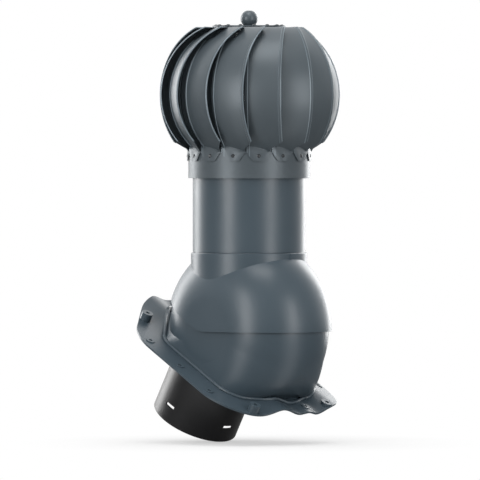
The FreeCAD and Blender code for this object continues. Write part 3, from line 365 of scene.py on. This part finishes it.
def finish(name, colour, rough, grain, depth, mottle=0.06, metallic=0.0, stretch=(1, 1, 1), spots=0.0,
           edges=0.0):
    """A surface with slow mottling, fine grain in height and gloss, optional spangle or painted hem highlight."""
    material = bpy.data.materials.new(name)
    material.use_nodes = True
    tree = material.node_tree
    tree.nodes.clear()
    place = add_node(tree, "ShaderNodeTexCoord").outputs["Object"]
    place = add_node(tree, "ShaderNodeMapping", Vector=place, Scale=stretch).outputs[0]
    slow, fine = (noise(tree, place, scale, detail) for scale, detail in ((MOTTLE_SCALE, 4), (1 / grain, 2)))
    tone = (slow - 0.5) * (2 * mottle) + (fine - 0.5) * mottle + 1
    if spots:
        cells = add_node(tree, "ShaderNodeTexVoronoi", Vector=place, Scale=1 / (SPANGLE_GRAINS * grain))
        grey = add_node(tree, "ShaderNodeSeparateColor", Color=cells.outputs["Color"])
        tone = tone + (Field(tree, grey.outputs[0]) - 0.5) * spots
    # painted highlight: the colour is raised on the marked hem edges, in place of light catching them
    if edges:
        bright = add_node(tree, "ShaderNodeAttribute", {"attribute_name": "hem_painted_highlight"})
        tone = tone + Field(tree, bright.outputs["Fac"]) * edges
    paint = add_node(tree, "ShaderNodeVectorMath", {"operation": "SCALE"}, Scale=tone)
    paint.inputs[0].default_value = colour
    bump = add_node(tree, "ShaderNodeBump", Strength=GRAIN_STRENGTH, Distance=depth, Height=fine)
    gloss = (slow - 0.5) * MOTTLE_GLOSS + (fine - 0.5) * GRAIN_GLOSS + rough
    shader = add_node(tree, "ShaderNodeBsdfPrincipled", Base_Color=paint.outputs[0], Roughness=gloss,
                      Metallic=metallic, Normal=bump.outputs[0])
    tree.links.new(shader.outputs[0], add_node(tree, "ShaderNodeOutputMaterial").inputs["Surface"])
    return material


finishes = {
    "hood_plastic": finish("hood_plastic", (0.046, 0.066, 0.082), 0.36, 0.6 * MM, 0.04 * MM),
    "duct_plastic": finish("duct_plastic", (0.008, 0.008, 0.009), 0.4, 0.8 * MM, 0.04 * MM, mottle=0.1),
    # edges sets the strength of the painted highlight along the blades' hems
    "rotor_sheet": finish("rotor_sheet", (0.07, 0.087, 0.099), 0.41, 1.6 * MM, 0.04 * MM, metallic=0.2,
                          edges=1.2),
    "rivet_metal": finish("rivet_metal", (0.03, 0.034, 0.038), 0.28, 0.8 * MM, 0.04 * MM, metallic=0.2),
    "zinc_steel": finish("zinc_steel", (0.50, 0.51, 0.53), 0.33, 0.9 * MM, 0.03 * MM, metallic=1.0,
                         spots=0.18),
    "bearing_steel": finish("bearing_steel", (0.58, 0.58, 0.58), 0.22, 0.7 * MM, 0.02 * MM, metallic=1.0,
                            stretch=(0.2, 0.2, 3)),
    "seal_rubber": finish("seal_rubber", (0.018, 0.018, 0.018), 0.62, 0.5 * MM, 0.06 * MM, mottle=0.12),
    "seal_foam": finish("seal_foam", (0.045, 0.045, 0.047), 0.85, 0.7 * MM, 0.3 * MM, mottle=0.2,
                        spots=0.3),
}
print("finishes", sorted(finishes))

# %% [markdown]
# ## Dress the CAD nodes
# Each node of the CAD model says in the record which finish it has. Its object has one material slot, so the
# finish goes there and the mesh stays as it is.

# %% Finishes on the nodes
for row in frame["record"]["subparts"]:
    thing = nodes[row["node"]]
    if not thing.material_slots:
        thing.data.materials.append(None)
    for place in thing.material_slots:
        place.material = finishes[row["material_slot"]]

# %% [markdown]
# ## Pieces made by Geometry Nodes
# A tree is a recipe: it says how a piece follows from a few sizes. The modifier that holds it is set by the
# socket's identifier, evaluated once, and then swapped for the plain mesh that it made, because an export
# knows nothing of modifiers.


# %% From a tree to a plain piece
SHARP = math.radians(32)


def new_tree(name, sizes):
    """An empty Geometry Nodes tree with one named input for each size."""
    tree = bpy.data.node_groups.new(name, "GeometryNodeTree")
    for size, value in sizes.items():
        socket = tree.interface.new_socket(size, in_out="INPUT", socket_type="NodeSocketFloat")
        socket.default_value = value
    tree.interface.new_socket("Mesh", in_out="OUTPUT", socket_type="NodeSocketGeometry")
    source = add_node(tree, "NodeGroupInput")
    return tree, {size: Field(tree, source.outputs[size]) for size in sizes}


def position(tree):
    """Where each point is: its X, Y and Z."""
    return parts_of(tree, add_node(tree, "GeometryNodeInputPosition").outputs[0])


def moved(tree, geometry, **change):
    """Geometry shifted by a Translation or stretched by a Scale."""
    return add_node(tree, "GeometryNodeTransform", Geometry=geometry, **change).outputs[0]


def joined(tree, *parts):
    """Several geometries as one."""
    node = add_node(tree, "GeometryNodeJoinGeometry")
    for part in parts:
        tree.links.new(part, node.inputs[0])
    return node.outputs[0]


def copy_angles(tree, size, count):
    """A point for each copy, and the angle of each copy about the axis."""
    points = add_node(tree, "GeometryNodePoints", Count=size[count])
    index = Field(tree, add_node(tree, "GeometryNodeInputIndex").outputs[0])
    return points.outputs[0], index * (2 * math.pi) / size[count] + size["First angle"]


def end_tree(tree, geometry, place, material):
    """Move what the tree made to its place, make it real and give it its finish."""
    real = add_node(tree, "GeometryNodeRealizeInstances", Geometry=moved(tree, geometry, Translation=place))
    painted = add_node(tree, "GeometryNodeSetMaterial", Geometry=real.outputs[0])
    painted.inputs["Material"].default_value = material
    tree.links.new(painted.outputs[0], add_node(tree, "NodeGroupOutput").inputs[0])


def grow(name, tree, sizes):
    """Run a tree with its sizes and keep the plain mesh that it makes."""
    thing = bpy.data.objects.new(name, bpy.data.meshes.new(name))
    bpy.context.scene.collection.objects.link(thing)
    modifier = thing.modifiers.new("recipe", "NODES")
    modifier.node_group = tree
    for socket in tree.interface.items_tree:
        if socket.in_out == "INPUT" and socket.name in sizes:
            modifier[socket.identifier] = float(sizes[socket.name])
    depsgraph = bpy.context.evaluated_depsgraph_get()
    made = bpy.data.meshes.new_from_object(thing.evaluated_get(depsgraph))
    thing.modifiers.clear()
    thing.data = made
    made.name = name
    made.shade_smooth()
    made.set_sharp_from_angle(angle=SHARP)
    print(name, len(made.polygons), "faces", [round(value, 3) for value in thing.dimensions])
    return thing


print("edges sharper than", round(math.degrees(SHARP)), "degrees stay crisp")

# %% [markdown]
# ## Blades
# Fifteen blades make the ball. Each is a strip of sheet with a folded hem along both long edges, rolled to a
# round arc. At its foot a shield shaped tab is bent down onto the ring, and at its top a flat wedge is bent
# in under the disc. The tree starts from a flat grid whose columns run across the blade and whose rows run up
# it. It drops the corners that the real blank doesn't have, gives the grid a thickness, marks the hems' edges
# to take a painted highlight, and then moves every point to where the bending puts it. All fifteen are copies
# of one blade, turned round the axis.

# %% Sizes of a blade
BLADE = {
    "Blades": 15,
    "First angle": math.radians(195.2),
    "Bend radius": 104 * MM,
    "Bend offset": 12.4 * MM,
    "Sheet": 0.6 * MM,
    "Inner edge": 5.3 * MM,
    "Width": 50.8 * MM,
    "Hem": 4.2 * MM,
    "Hem height": 0.8 * MM,
    "Hem corner": 0.8 * MM,
    "Bow": 2.2 * MM,
    "Ring radius": 86.35 * MM,
    "Foot slope edge": 38.9 * MM,
    "Foot": -77.4 * MM,
    "Foot slope": 0.64,
    "Shoulder edge": 22.9 * MM,
    "Shoulder": 81.8 * MM,
    "Shoulder slope": 0.36,
    "Top": 95.8 * MM,
    "Wedge inner radius": 40 * MM,
    "Tab middle": math.radians(14.63),
    "Tab bottom": -93.8 * MM,
    "Tab bottom half": 8.6 * MM,
    "Tab side slope": 1.44,
    "Tab rounding": 3 * MM,
    "Tab side": 17.9 * MM,
    "Tab least": 1 * MM,
    "Tab lift": 1.2 * MM,
}
COLUMNS = 26
HEM_COLUMNS = 3
TAB_ROWS = 6
STRIP_ROWS = 26
SHOULDER_ROWS = 5
WEDGE_ROWS = 2
ROWS = TAB_ROWS + STRIP_ROWS + SHOULDER_ROWS + WEDGE_ROWS
TAB_COLUMNS = 17
SHOULDER_COLUMNS = 9
EDGE_HEM = 0.4
BACK_HEM = 0.6
EQUATOR = 330.4 * MM
print("rows", ROWS, "columns", COLUMNS)


# %% The flat blank
def face_filter(tree, geometry, wide, tall):
    """Drop the faces of the flat grid that lie in a range of columns and rows."""
    column, row, height = position(tree)
    inside = column.over(wide[0]) * column.under(wide[1]) * (row.over(tall[0]) * row.under(tall[1]))
    return add_node(tree, "GeometryNodeDeleteGeometry", {"domain": "FACE"}, Geometry=geometry,
                    Selection=inside).outputs[0]


def from_edge(column):
    """How many columns a point lies from the nearer long edge."""
    return column.at_most(column * -1 + COLUMNS)


def blank(tree):
    """The flat blank, one unit thick, with the edges of its hems marked for a painted highlight."""
    grid = add_node(tree, "GeometryNodeMeshGrid", Size_X=COLUMNS, Size_Y=ROWS, Vertices_X=COLUMNS + 1,
                    Vertices_Y=ROWS + 1)
    flat = moved(tree, grid.outputs[0], Translation=(COLUMNS / 2, ROWS / 2, 0))
    flat = face_filter(tree, flat, (TAB_COLUMNS, COLUMNS), (0, TAB_ROWS))
    flat = face_filter(tree, flat, (0, SHOULDER_COLUMNS), (TAB_ROWS + STRIP_ROWS, ROWS))
    thick = add_node(tree, "GeometryNodeExtrudeMesh", Mesh=flat, Offset=(0, 0, 1), Offset_Scale=1,
                     Individual=False)
    back = add_node(tree, "GeometryNodeFlipFaces", Mesh=flat)
    closed = add_node(tree, "GeometryNodeMergeByDistance", Distance=0.01,
                      Geometry=joined(tree, back.outputs[0], thick.outputs[0]))
    near = from_edge(position(tree)[0])
    # the outer edge column and the hem's inner border are marked to take a painted highlight
    bright = near.under(1) + near.over(HEM_COLUMNS - 1) * near.under(HEM_COLUMNS)
    return add_node(tree, "GeometryNodeStoreNamedAttribute", {"domain": "FACE"}, Geometry=closed.outputs[0],
                    Name="hem_painted_highlight", Value=bright).outputs[0]


print("corners dropped beside the tab and the wedge")


# %% Bending the blank
def bent_place(tree, size):
    """Where bending puts a point of the blank: X out along the blade's normal, Z up from the equator."""
    column, row, outer = position(tree)
    # across the blade, with close columns at the two hems
    step = (size["Width"] - size["Hem"] * 2) / (COLUMNS - 2 * HEM_COLUMNS)
    near = from_edge(column)
    inset = (near.share() * size["Hem corner"] + (near - 1).share() * (size["Hem"] - size["Hem corner"] * 2)
             + (near - 2).share() * size["Hem corner"] + (near - HEM_COLUMNS).at_least(0) * step)
    edge = size["Inner edge"] + inset.towards(size["Width"] - inset, column.over(COLUMNS / 2))
    # progress along each stretch of rows
    tab = (row / TAB_ROWS).share()
    strip = ((row - TAB_ROWS) / STRIP_ROWS).share()
    shoulder = ((row - TAB_ROWS - STRIP_ROWS) / SHOULDER_ROWS).share()
    wedge = ((row - TAB_ROWS - STRIP_ROWS - SHOULDER_ROWS) / WEDGE_ROWS).share()
    # angles along the bend
    bend = size["Bend radius"]
    ring = size["Ring radius"] + size["Sheet"]
    fold = -(((ring * ring - edge * edge).root() - size["Bend offset"]) / bend).math("ARCCOSINE")
    rise = (edge - size["Foot slope edge"]) * size["Foot slope"]
    foot = ((size["Foot"] + rise) / bend).math("ARCSINE")
    start = fold.towards(foot, edge.over(size["Foot slope edge"]))
    drop = (size["Shoulder edge"] - edge).at_least(0) * size["Shoulder slope"]
    middle = ((size["Shoulder"] - drop) / bend).math("ARCSINE")
    top = (size["Top"] / bend).math("ARCSINE")
    angle = start.towards(middle, strip) + (top - middle) * shoulder
    # the hem stands proud on the outside and is folded behind on the inside
    hem = size["Hem height"] * ((near.share() * (1 - EDGE_HEM) + EDGE_HEM) - (near - 2).share())
    hem = hem * (wedge * -2 + 1).share()
    # the sheet is bowed a little across its width, most at mid height
    across = (edge - size["Inner edge"]) / size["Width"]
    bow = size["Bow"] * across * across.rest() * strip * strip.rest() * 16
    radius = bend - size["Hem height"] + bow + hem * outer - (size["Sheet"] + hem * BACK_HEM) * outer.rest()
    bent_x = size["Bend offset"] + radius * angle.math("COSINE")
    bent_z = radius * angle.math("SINE")
    # the flat wedge under the disc
    bend_line = size["Bend offset"] + bend * top.math("COSINE")
    spread = (edge / bend_line).math("ARCTANGENT")
    flat_x = bent_x.towards(size["Wedge inner radius"] * spread.math("COSINE"), wedge)
    flat_y = edge.towards(size["Wedge inner radius"] * spread.math("SINE"), wedge)
    # the tab on the ring
    turn = (edge / ring).math("ARCSINE")
    aside = (turn - size["Tab middle"]).math("ABSOLUTE") * ring
    rounded = (aside - size["Tab bottom half"]).math("SMOOTH_MAX", 0, size["Tab rounding"])
    fold_z = bend * fold.math("SINE")
    tab_low = (size["Tab bottom"] + rounded * size["Tab side slope"]).at_most(fold_z - size["Tab least"])
    loose = tab.rest() + aside / size["Tab side"]
    on_ring = size["Ring radius"] + (loose * loose).at_most(1) * size["Tab lift"] + size["Sheet"] * outer
    on_tab = row.under(TAB_ROWS - 0.5)
    x = flat_x.towards(on_ring * turn.math("COSINE"), on_tab)
    y = flat_y.towards(on_ring * turn.math("SINE"), on_tab)
    z = bent_z.towards(tab_low.towards(fold_z, tab), on_tab)
    return vector_of(tree, x, y, z)


# %% The blades
def blade_tree():
    """A tree that bends one blank to a blade and turns copies of it round the axis."""
    tree, size = new_tree("bent_blades", BLADE)
    bent = add_node(tree, "GeometryNodeSetPosition", Geometry=blank(tree), Position=bent_place(tree, size))
    points, angle = copy_angles(tree, size, "Blades")
    copies = add_node(tree, "GeometryNodeInstanceOnPoints", Points=points, Instance=bent.outputs[0],
                      Rotation=vector_of(tree, 0, 0, angle))
    end_tree(tree, copies.outputs[0], TILT_CENTRE + Vector((0, 0, EQUATOR)), finishes["rotor_sheet"])
    return tree


blades = grow("rotor_blades", blade_tree(), BLADE)
BLADE_NODES = [f"blade_{index:02d}" for index in range(1, 16)]
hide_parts(*BLADE_NODES)
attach(blades, "rotor")

# %% [markdown]
# ## Rivets
# Blind rivets hold each tab to the ring and each wedge under the disc. A blind rivet has a low domed head
# with a small pit where its pin broke off, and a bulb behind the sheet. One tree makes both rings of rivets:
# only the circle, the tilt and the height differ.

# %% Rivet sizes
RIVET = {
    "Rivets": 15,
    "First angle": 0,
    "Circle": 0,
    "Height": 0,
    "Tilt": 0,
    "Head radius": 2.75 * MM,
    "Head height": 1.7 * MM,
    "Head roundness": 0.85,
    "Pit": 0.4 * MM,
    "Pit share": 0.25,
    "Shank radius": 1.2 * MM,
    "Grip": 3 * MM,
    "Bulb radius": 2.0 * MM,
}
HEAD_CORNERS = 20
HEAD_RINGS = 5
BULB_RINGS = 8
BULB_FLATNESS = 0.55
BULB_SETBACK = 0.3
print("rivets in a ring", RIVET["Rivets"])


# %% The rivet's tree
def domed_head(tree, size):
    """A disc whose top is raised to a dome, with a pit in its middle."""
    disc = add_node(tree, "GeometryNodeMeshCylinder", Vertices=HEAD_CORNERS, Fill_Segments=HEAD_RINGS,
                    Radius=size["Head radius"], Depth=size["Head height"])
    lifted = moved(tree, disc.outputs[0], Translation=vector_of(tree, 0, 0, size["Head height"] / 2))
    x, y, z = position(tree)
    away = (x * x + y * y).root() / size["Head radius"]
    dome = (away * away * size["Head roundness"]).rest().root() * size["Head height"]
    dome = dome - size["Pit"] * away.under(size["Pit share"])
    height = z.towards(dome, z.over(size["Head height"] / 2))
    return add_node(tree, "GeometryNodeSetPosition", Geometry=lifted,
                    Position=vector_of(tree, x, y, height)).outputs[0]


def shank_and_bulb(tree, size):
    """The plain shank through the sheet, and the flattened bulb behind it."""
    shank = add_node(tree, "GeometryNodeMeshCylinder", Vertices=HEAD_CORNERS, Radius=size["Shank radius"],
                     Depth=size["Grip"])
    bulb = add_node(tree, "GeometryNodeMeshUVSphere", Segments=HEAD_CORNERS, Rings=BULB_RINGS,
                    Radius=size["Bulb radius"])
    behind = vector_of(tree, 0, 0, -size["Grip"] - size["Bulb radius"] * BULB_SETBACK)
    within = vector_of(tree, 0, 0, size["Grip"] * -0.5)
    return (moved(tree, bulb.outputs[0], Scale=(1, 1, BULB_FLATNESS), Translation=behind),
            moved(tree, shank.outputs[0], Translation=within))


def rivet_tree():
    """A tree that makes one rivet and sets copies of it in a ring."""
    tree, size = new_tree("blind_rivets", RIVET)
    one = joined(tree, *shank_and_bulb(tree, size), domed_head(tree, size))
    points, angle = copy_angles(tree, size, "Rivets")
    spot = vector_of(tree, size["Circle"] * angle.math("COSINE"), size["Circle"] * angle.math("SINE"),
                     size["Height"])
    points = add_node(tree, "GeometryNodeSetPosition", Geometry=points, Position=spot)
    copies = add_node(tree, "GeometryNodeInstanceOnPoints", Points=points.outputs[0], Instance=one,
                      Rotation=vector_of(tree, 0, size["Tilt"], angle))
    end_tree(tree, copies.outputs[0], TILT_CENTRE, finishes["rivet_metal"])
    return tree


# %% Both rings of rivets
RIVET_ANGLE = math.radians(195.2 + 14.6)
BLADE_STEP = math.radians(24)
rivets = rivet_tree()
ring_rivets = grow("tab_rivets", rivets, RIVET | {
    "First angle": RIVET_ANGLE, "Circle": 86.95 * MM, "Height": 243.9 * MM, "Tilt": math.pi / 2})
disc_rivets = grow("disc_top_rivets", rivets, RIVET | {
    "First angle": RIVET_ANGLE + BLADE_STEP, "Circle": 46.8 * MM, "Height": 428.2 * MM, "Grip": 4.1 * MM})
for thing, node in ((ring_rivets, "ring_rivets"), (disc_rivets, "disc_rivets")):
    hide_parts(node)
    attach(thing, "rotor")

# %% [markdown]
# ## The belly of the base
# Under the hood the drum runs in one sweep from a round section to the squarer foot on the flange, and a
# round bead goes about that foot. The CAD model has a flat cut and a short skirt there. A skin over them is
# made as a grid: each row is a level, and each column is a share of the way round the outline. Above the
# drum's middle the rows follow the drum. Below it the corner's radius shrinks and the front is drawn in. All
# sizes are in the roof's own frame, which is tipped up the slope about the tilt axis.

# %% Sizes of the belly
DRUM_RADIUS = 83.4 * MM
DRUM_FLAT = 41 * MM
DRUM_REACH = DRUM_RADIUS + DRUM_FLAT
FOOT_LEVEL = 57.6 * MM
FOOT_CORNERS = {-1: 46 * MM, 1: 34 * MM}
FOOT_WIDER = 0.1 * MM
FOOT_SUNK = 1.8 * MM
CORNER_START = 12 * MM
CORNER_POWER = 1.6
FRONT_DRAW = 11.3 * MM
FRONT_POWER = 2.0
SKIN_LIFT = 0.15 * MM
SKIN_THICK = 1.4 * MM
SIDE_SINK = 0.45 * MM
SIDE_END = -16 * MM
UPPER_TURN = math.radians(38)
FRONT_COLUMNS, CORNER_COLUMNS, SIDE_COLUMNS = 12, 24, 6
UPPER_ROWS, LOWER_ROWS = 12, 24
ROOF_PITCH = math.radians(30)
roof = Matrix.Translation(TILT_CENTRE) @ Matrix.Rotation(ROOF_PITCH, 4, "X")
last_column = FRONT_COLUMNS + CORNER_COLUMNS + SIDE_COLUMNS
columns = ([(-1, column) for column in range(last_column, 0, -1)]
           + [(1, column) for column in range(last_column + 1)])
print("belly rows", UPPER_ROWS + LOWER_ROWS, "columns", len(columns))


# %% The belly's outline
def plan(half, down, corner, lift, column):
    """A place on the right half of an outline, from the middle of its front to the end of its side."""
    if column < FRONT_COLUMNS:
        return (half - corner) * column / FRONT_COLUMNS, -down
    column -= FRONT_COLUMNS
    if column <= CORNER_COLUMNS:
        turn = math.pi / 2 * column / CORNER_COLUMNS
        return half - corner + corner * math.sin(turn), corner - down - corner * math.cos(turn)
    share = (column - CORNER_COLUMNS) / SIDE_COLUMNS
    return half - (SIDE_SINK + lift) * share, (corner - down) * (1 - share) + SIDE_END * share


def corner_at(level, sign):
    """The radius of the outline's downhill corner, which shrinks from near the drum's middle to the foot."""
    share = min(1, max(0, CORNER_START - level) / (CORNER_START + FOOT_LEVEL))
    return DRUM_RADIUS - (DRUM_RADIUS - FOOT_CORNERS[sign]) * share ** CORNER_POWER


def drum_place(turn, sign, column, lift):
    """A place on the round drum, at a turn above its middle."""
    corner = corner_at(DRUM_REACH * math.sin(turn), sign)
    x, y = plan(DRUM_RADIUS + lift, DRUM_REACH + lift, corner + lift, lift, column)
    away = min(y, -DRUM_FLAT)
    return Vector((sign * x, away * math.cos(turn) + (y - away), -away * math.sin(turn)))


def belly_place(level, sign, column, lift):
    """A place on the sweep from the drum's middle down to the foot."""
    share = min(1, -level / FOOT_LEVEL)
    reach = math.sqrt(DRUM_REACH ** 2 - (share * FOOT_LEVEL) ** 2)
    down = reach - FRONT_DRAW * share ** FRONT_POWER + lift
    x, y = plan(DRUM_RADIUS + FOOT_WIDER * share + lift, down, corner_at(level, sign) + lift, lift, column)
    return Vector((sign * x, y, level))


print("middle of the foot's front", [round(value, 4) for value in belly_place(-FOOT_LEVEL, 1, 0, SKIN_LIFT)])


# %% Helpers for sheets and levels
def sheet_of(work, grid, closed=False):
    """Faces between the rows of a grid of vertices."""
    width = len(grid[0])
    for low, high in zip(grid, grid[1:]):
        for index in range(width if closed else width - 1):
            after = (index + 1) % width
            corners = (low[index], low[after], high[after], high[index])
            if len(set(corners)) == 4:
                work.faces.new(corners)


def border(grid):
    """The vertices round the outside of a grid, in order."""
    return (grid[0][::-1] + [row[0] for row in grid[1:]] + grid[-1][1:]
            + [row[-1] for row in grid[-2:0:-1]])


def smoothed(values, passes, closed=False):
    """Each value as the mean of itself and its neighbours, several times over."""
    for number in range(passes):
        before, after = (values[-1:], values[:1]) if closed else ([], [])
        row = before + values + after
        groups = [row[max(index - 1, 0):index + 2] for index in range(len(before), len(before) + len(values))]
        values = [sum(group) / len(group) for group in groups]
    return values


PROBE_LEVEL = -40 * MM


def flange_height(tree, x, y):
    """The level of the flange's upper face under a place near the foot."""
    hit = tree.ray_cast(roof @ Vector((x, y, PROBE_LEVEL)), -roof.col[2].to_3d())
    return (roof.inverted() @ hit[0]).z if hit[0] else -FOOT_LEVEL


print("levels are probed from", PROBE_LEVEL)

# %% [markdown]
# The CAD node can't be changed, so a merged copy of its mesh starts the new piece. Its surface says how high
# the wavy flange is under each column, and the skin's last row ends just inside it.

# %% A merged copy of the base
SHELL_MERGE = 0.002 * MM
base_node = nodes["base_shell"]
work = bmesh.new()
work.from_mesh(base_node.data)
work.transform(base_node.matrix_world)
bmesh.ops.remove_doubles(work, verts=work.verts, dist=SHELL_MERGE)
surface = BVHTree.FromBMesh(work)
shell_faces = set(work.faces)
print("shell", len(shell_faces), "faces")

# %% The skin
FOOT_PROBE = 5 * MM
SKIN_MERGE = 0.01 * MM


def skin_grid(lift):
    """Rows of vertices from the top of the skin down to the flange."""
    grid = [[drum_place(UPPER_TURN * row / UPPER_ROWS, *spot, lift) for spot in columns]
            for row in range(UPPER_ROWS, 0, -1)]
    grid += [[belly_place((bottom - FOOT_SUNK) * row / LOWER_ROWS, *spot, lift)
              for spot, bottom in zip(columns, bottoms)] for row in range(LOWER_ROWS + 1)]
    return [[work.verts.new(roof @ place) for place in row] for row in grid]


feet = [belly_place(-FOOT_LEVEL, *spot, FOOT_PROBE) for spot in columns]
bottoms = smoothed([flange_height(surface, foot.x, foot.y) for foot in feet], 2)
outer = skin_grid(SKIN_LIFT)
inner = skin_grid(SKIN_LIFT - SKIN_THICK)
sheet_of(work, outer)
sheet_of(work, [row[::-1] for row in inner])
sheet_of(work, [border(outer), border(inner)], closed=True)
print("skin ends at levels", round(min(bottoms), 4), "to", round(max(bottoms), 4))

# %% [markdown]
# The bead is a round cord laid along the foot. Its path takes the belly's own outline on the downhill half,
# and the foot's rounded corners on the uphill half.

# %% Sizes of the bead
BEAD_RADIUS = 2.4 * MM
BEAD_OUT = 1.1 * MM
BEAD_UP = 1.5 * MM
BEAD_CORNERS = 12
BEAD_PROBE = 4 * MM
ARC_STEP = math.radians(7)
RIGHT_CORNERS = [(83.5 * MM, -99 * MM, 34 * MM), (83.5 * MM, 66 * MM, 50 * MM), (16 * MM, 142 * MM, 32 * MM)]
LEFT_CORNERS = [(-x, y, radius) for x, y, radius in reversed(RIGHT_CORNERS)]
print("bead", round(2 * BEAD_RADIUS, 4), "m thick")


# %% The bead's path
def foot_line(corners):
    """Points along an outline through corners (x, y, radius), each rounded by an arc."""
    points = []
    for index, (x, y, radius) in enumerate(corners):
        point = Vector((x, y))
        before = (Vector(corners[index - 1][:2]) - point).normalized()
        after = (Vector(corners[(index + 1) % len(corners)][:2]) - point).normalized()
        half = before.angle(after) / 2
        centre = point + (before + after).normalized() * (radius / math.sin(half))
        start = point + before * (radius / math.tan(half)) - centre
        turn = math.pi - 2 * half
        count = max(2, round(turn / ARC_STEP))
        sign = 1 if before.x * after.y - before.y * after.x < 0 else -1
        for number in range(count + 1):
            points.append(centre + Matrix.Rotation(sign * turn * number / count, 2) @ start)
    return points


downhill = [belly_place(bottom, *spot, SKIN_LIFT).to_2d() for spot, bottom in zip(columns, bottoms)
            if spot[1] <= FRONT_COLUMNS + CORNER_COLUMNS]
uphill = [point for point in foot_line(RIGHT_CORNERS + LEFT_CORNERS) if point.y > SIDE_END]
uphill.sort(key=lambda point: math.atan2(point.y - SIDE_END, point.x))
path = downhill + uphill
outward = []
for index in range(len(path)):
    forward = path[(index + 1) % len(path)] - path[index - 1]
    outward.append(Vector((forward.y, -forward.x)).normalized())
heights = [flange_height(surface, *(point + side * BEAD_PROBE)) for point, side in zip(path, outward)]
heights = smoothed(heights, 3, closed=True)
print("path of", len(path), "points")

# %% The bead
cord = []
for point, side, height in zip(path, outward, heights):
    ring = []
    for corner in range(BEAD_CORNERS):
        turn = 2 * math.pi * corner / BEAD_CORNERS
        place = point + side * (BEAD_OUT + BEAD_RADIUS * math.cos(turn))
        ring.append(work.verts.new(roof @ Vector((*place, height + BEAD_UP + BEAD_RADIUS * math.sin(turn)))))
    cord.append(ring)
sheet_of(work, cord + cord[:1], closed=True)
print("bead", len(cord) * BEAD_CORNERS, "faces")

# %% The dressed base
BASE_SHARP = math.radians(24)
bmesh.ops.remove_doubles(work, verts=[vertex for row in outer + inner for vertex in row], dist=SKIN_MERGE)
bmesh.ops.recalc_face_normals(work, faces=[face for face in work.faces if face not in shell_faces])
base_mesh = bpy.data.meshes.new("base_with_belly")
work.to_mesh(base_mesh)
work.free()
base_mesh.attributes.remove(base_mesh.attributes["custom_normal"])
base_mesh.materials.clear()
base_mesh.materials.append(finishes["hood_plastic"])
base_mesh.shade_smooth()
base_mesh.set_sharp_from_angle(angle=BASE_SHARP)
base = bpy.data.objects.new("base_with_belly", base_mesh)
bpy.context.scene.collection.objects.link(base)
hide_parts("base_shell")
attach(base, "base")
print("base", len(base_mesh.polygons), "faces")

# %% [markdown]
# The dressed part has to stay inside the CAD model's box.
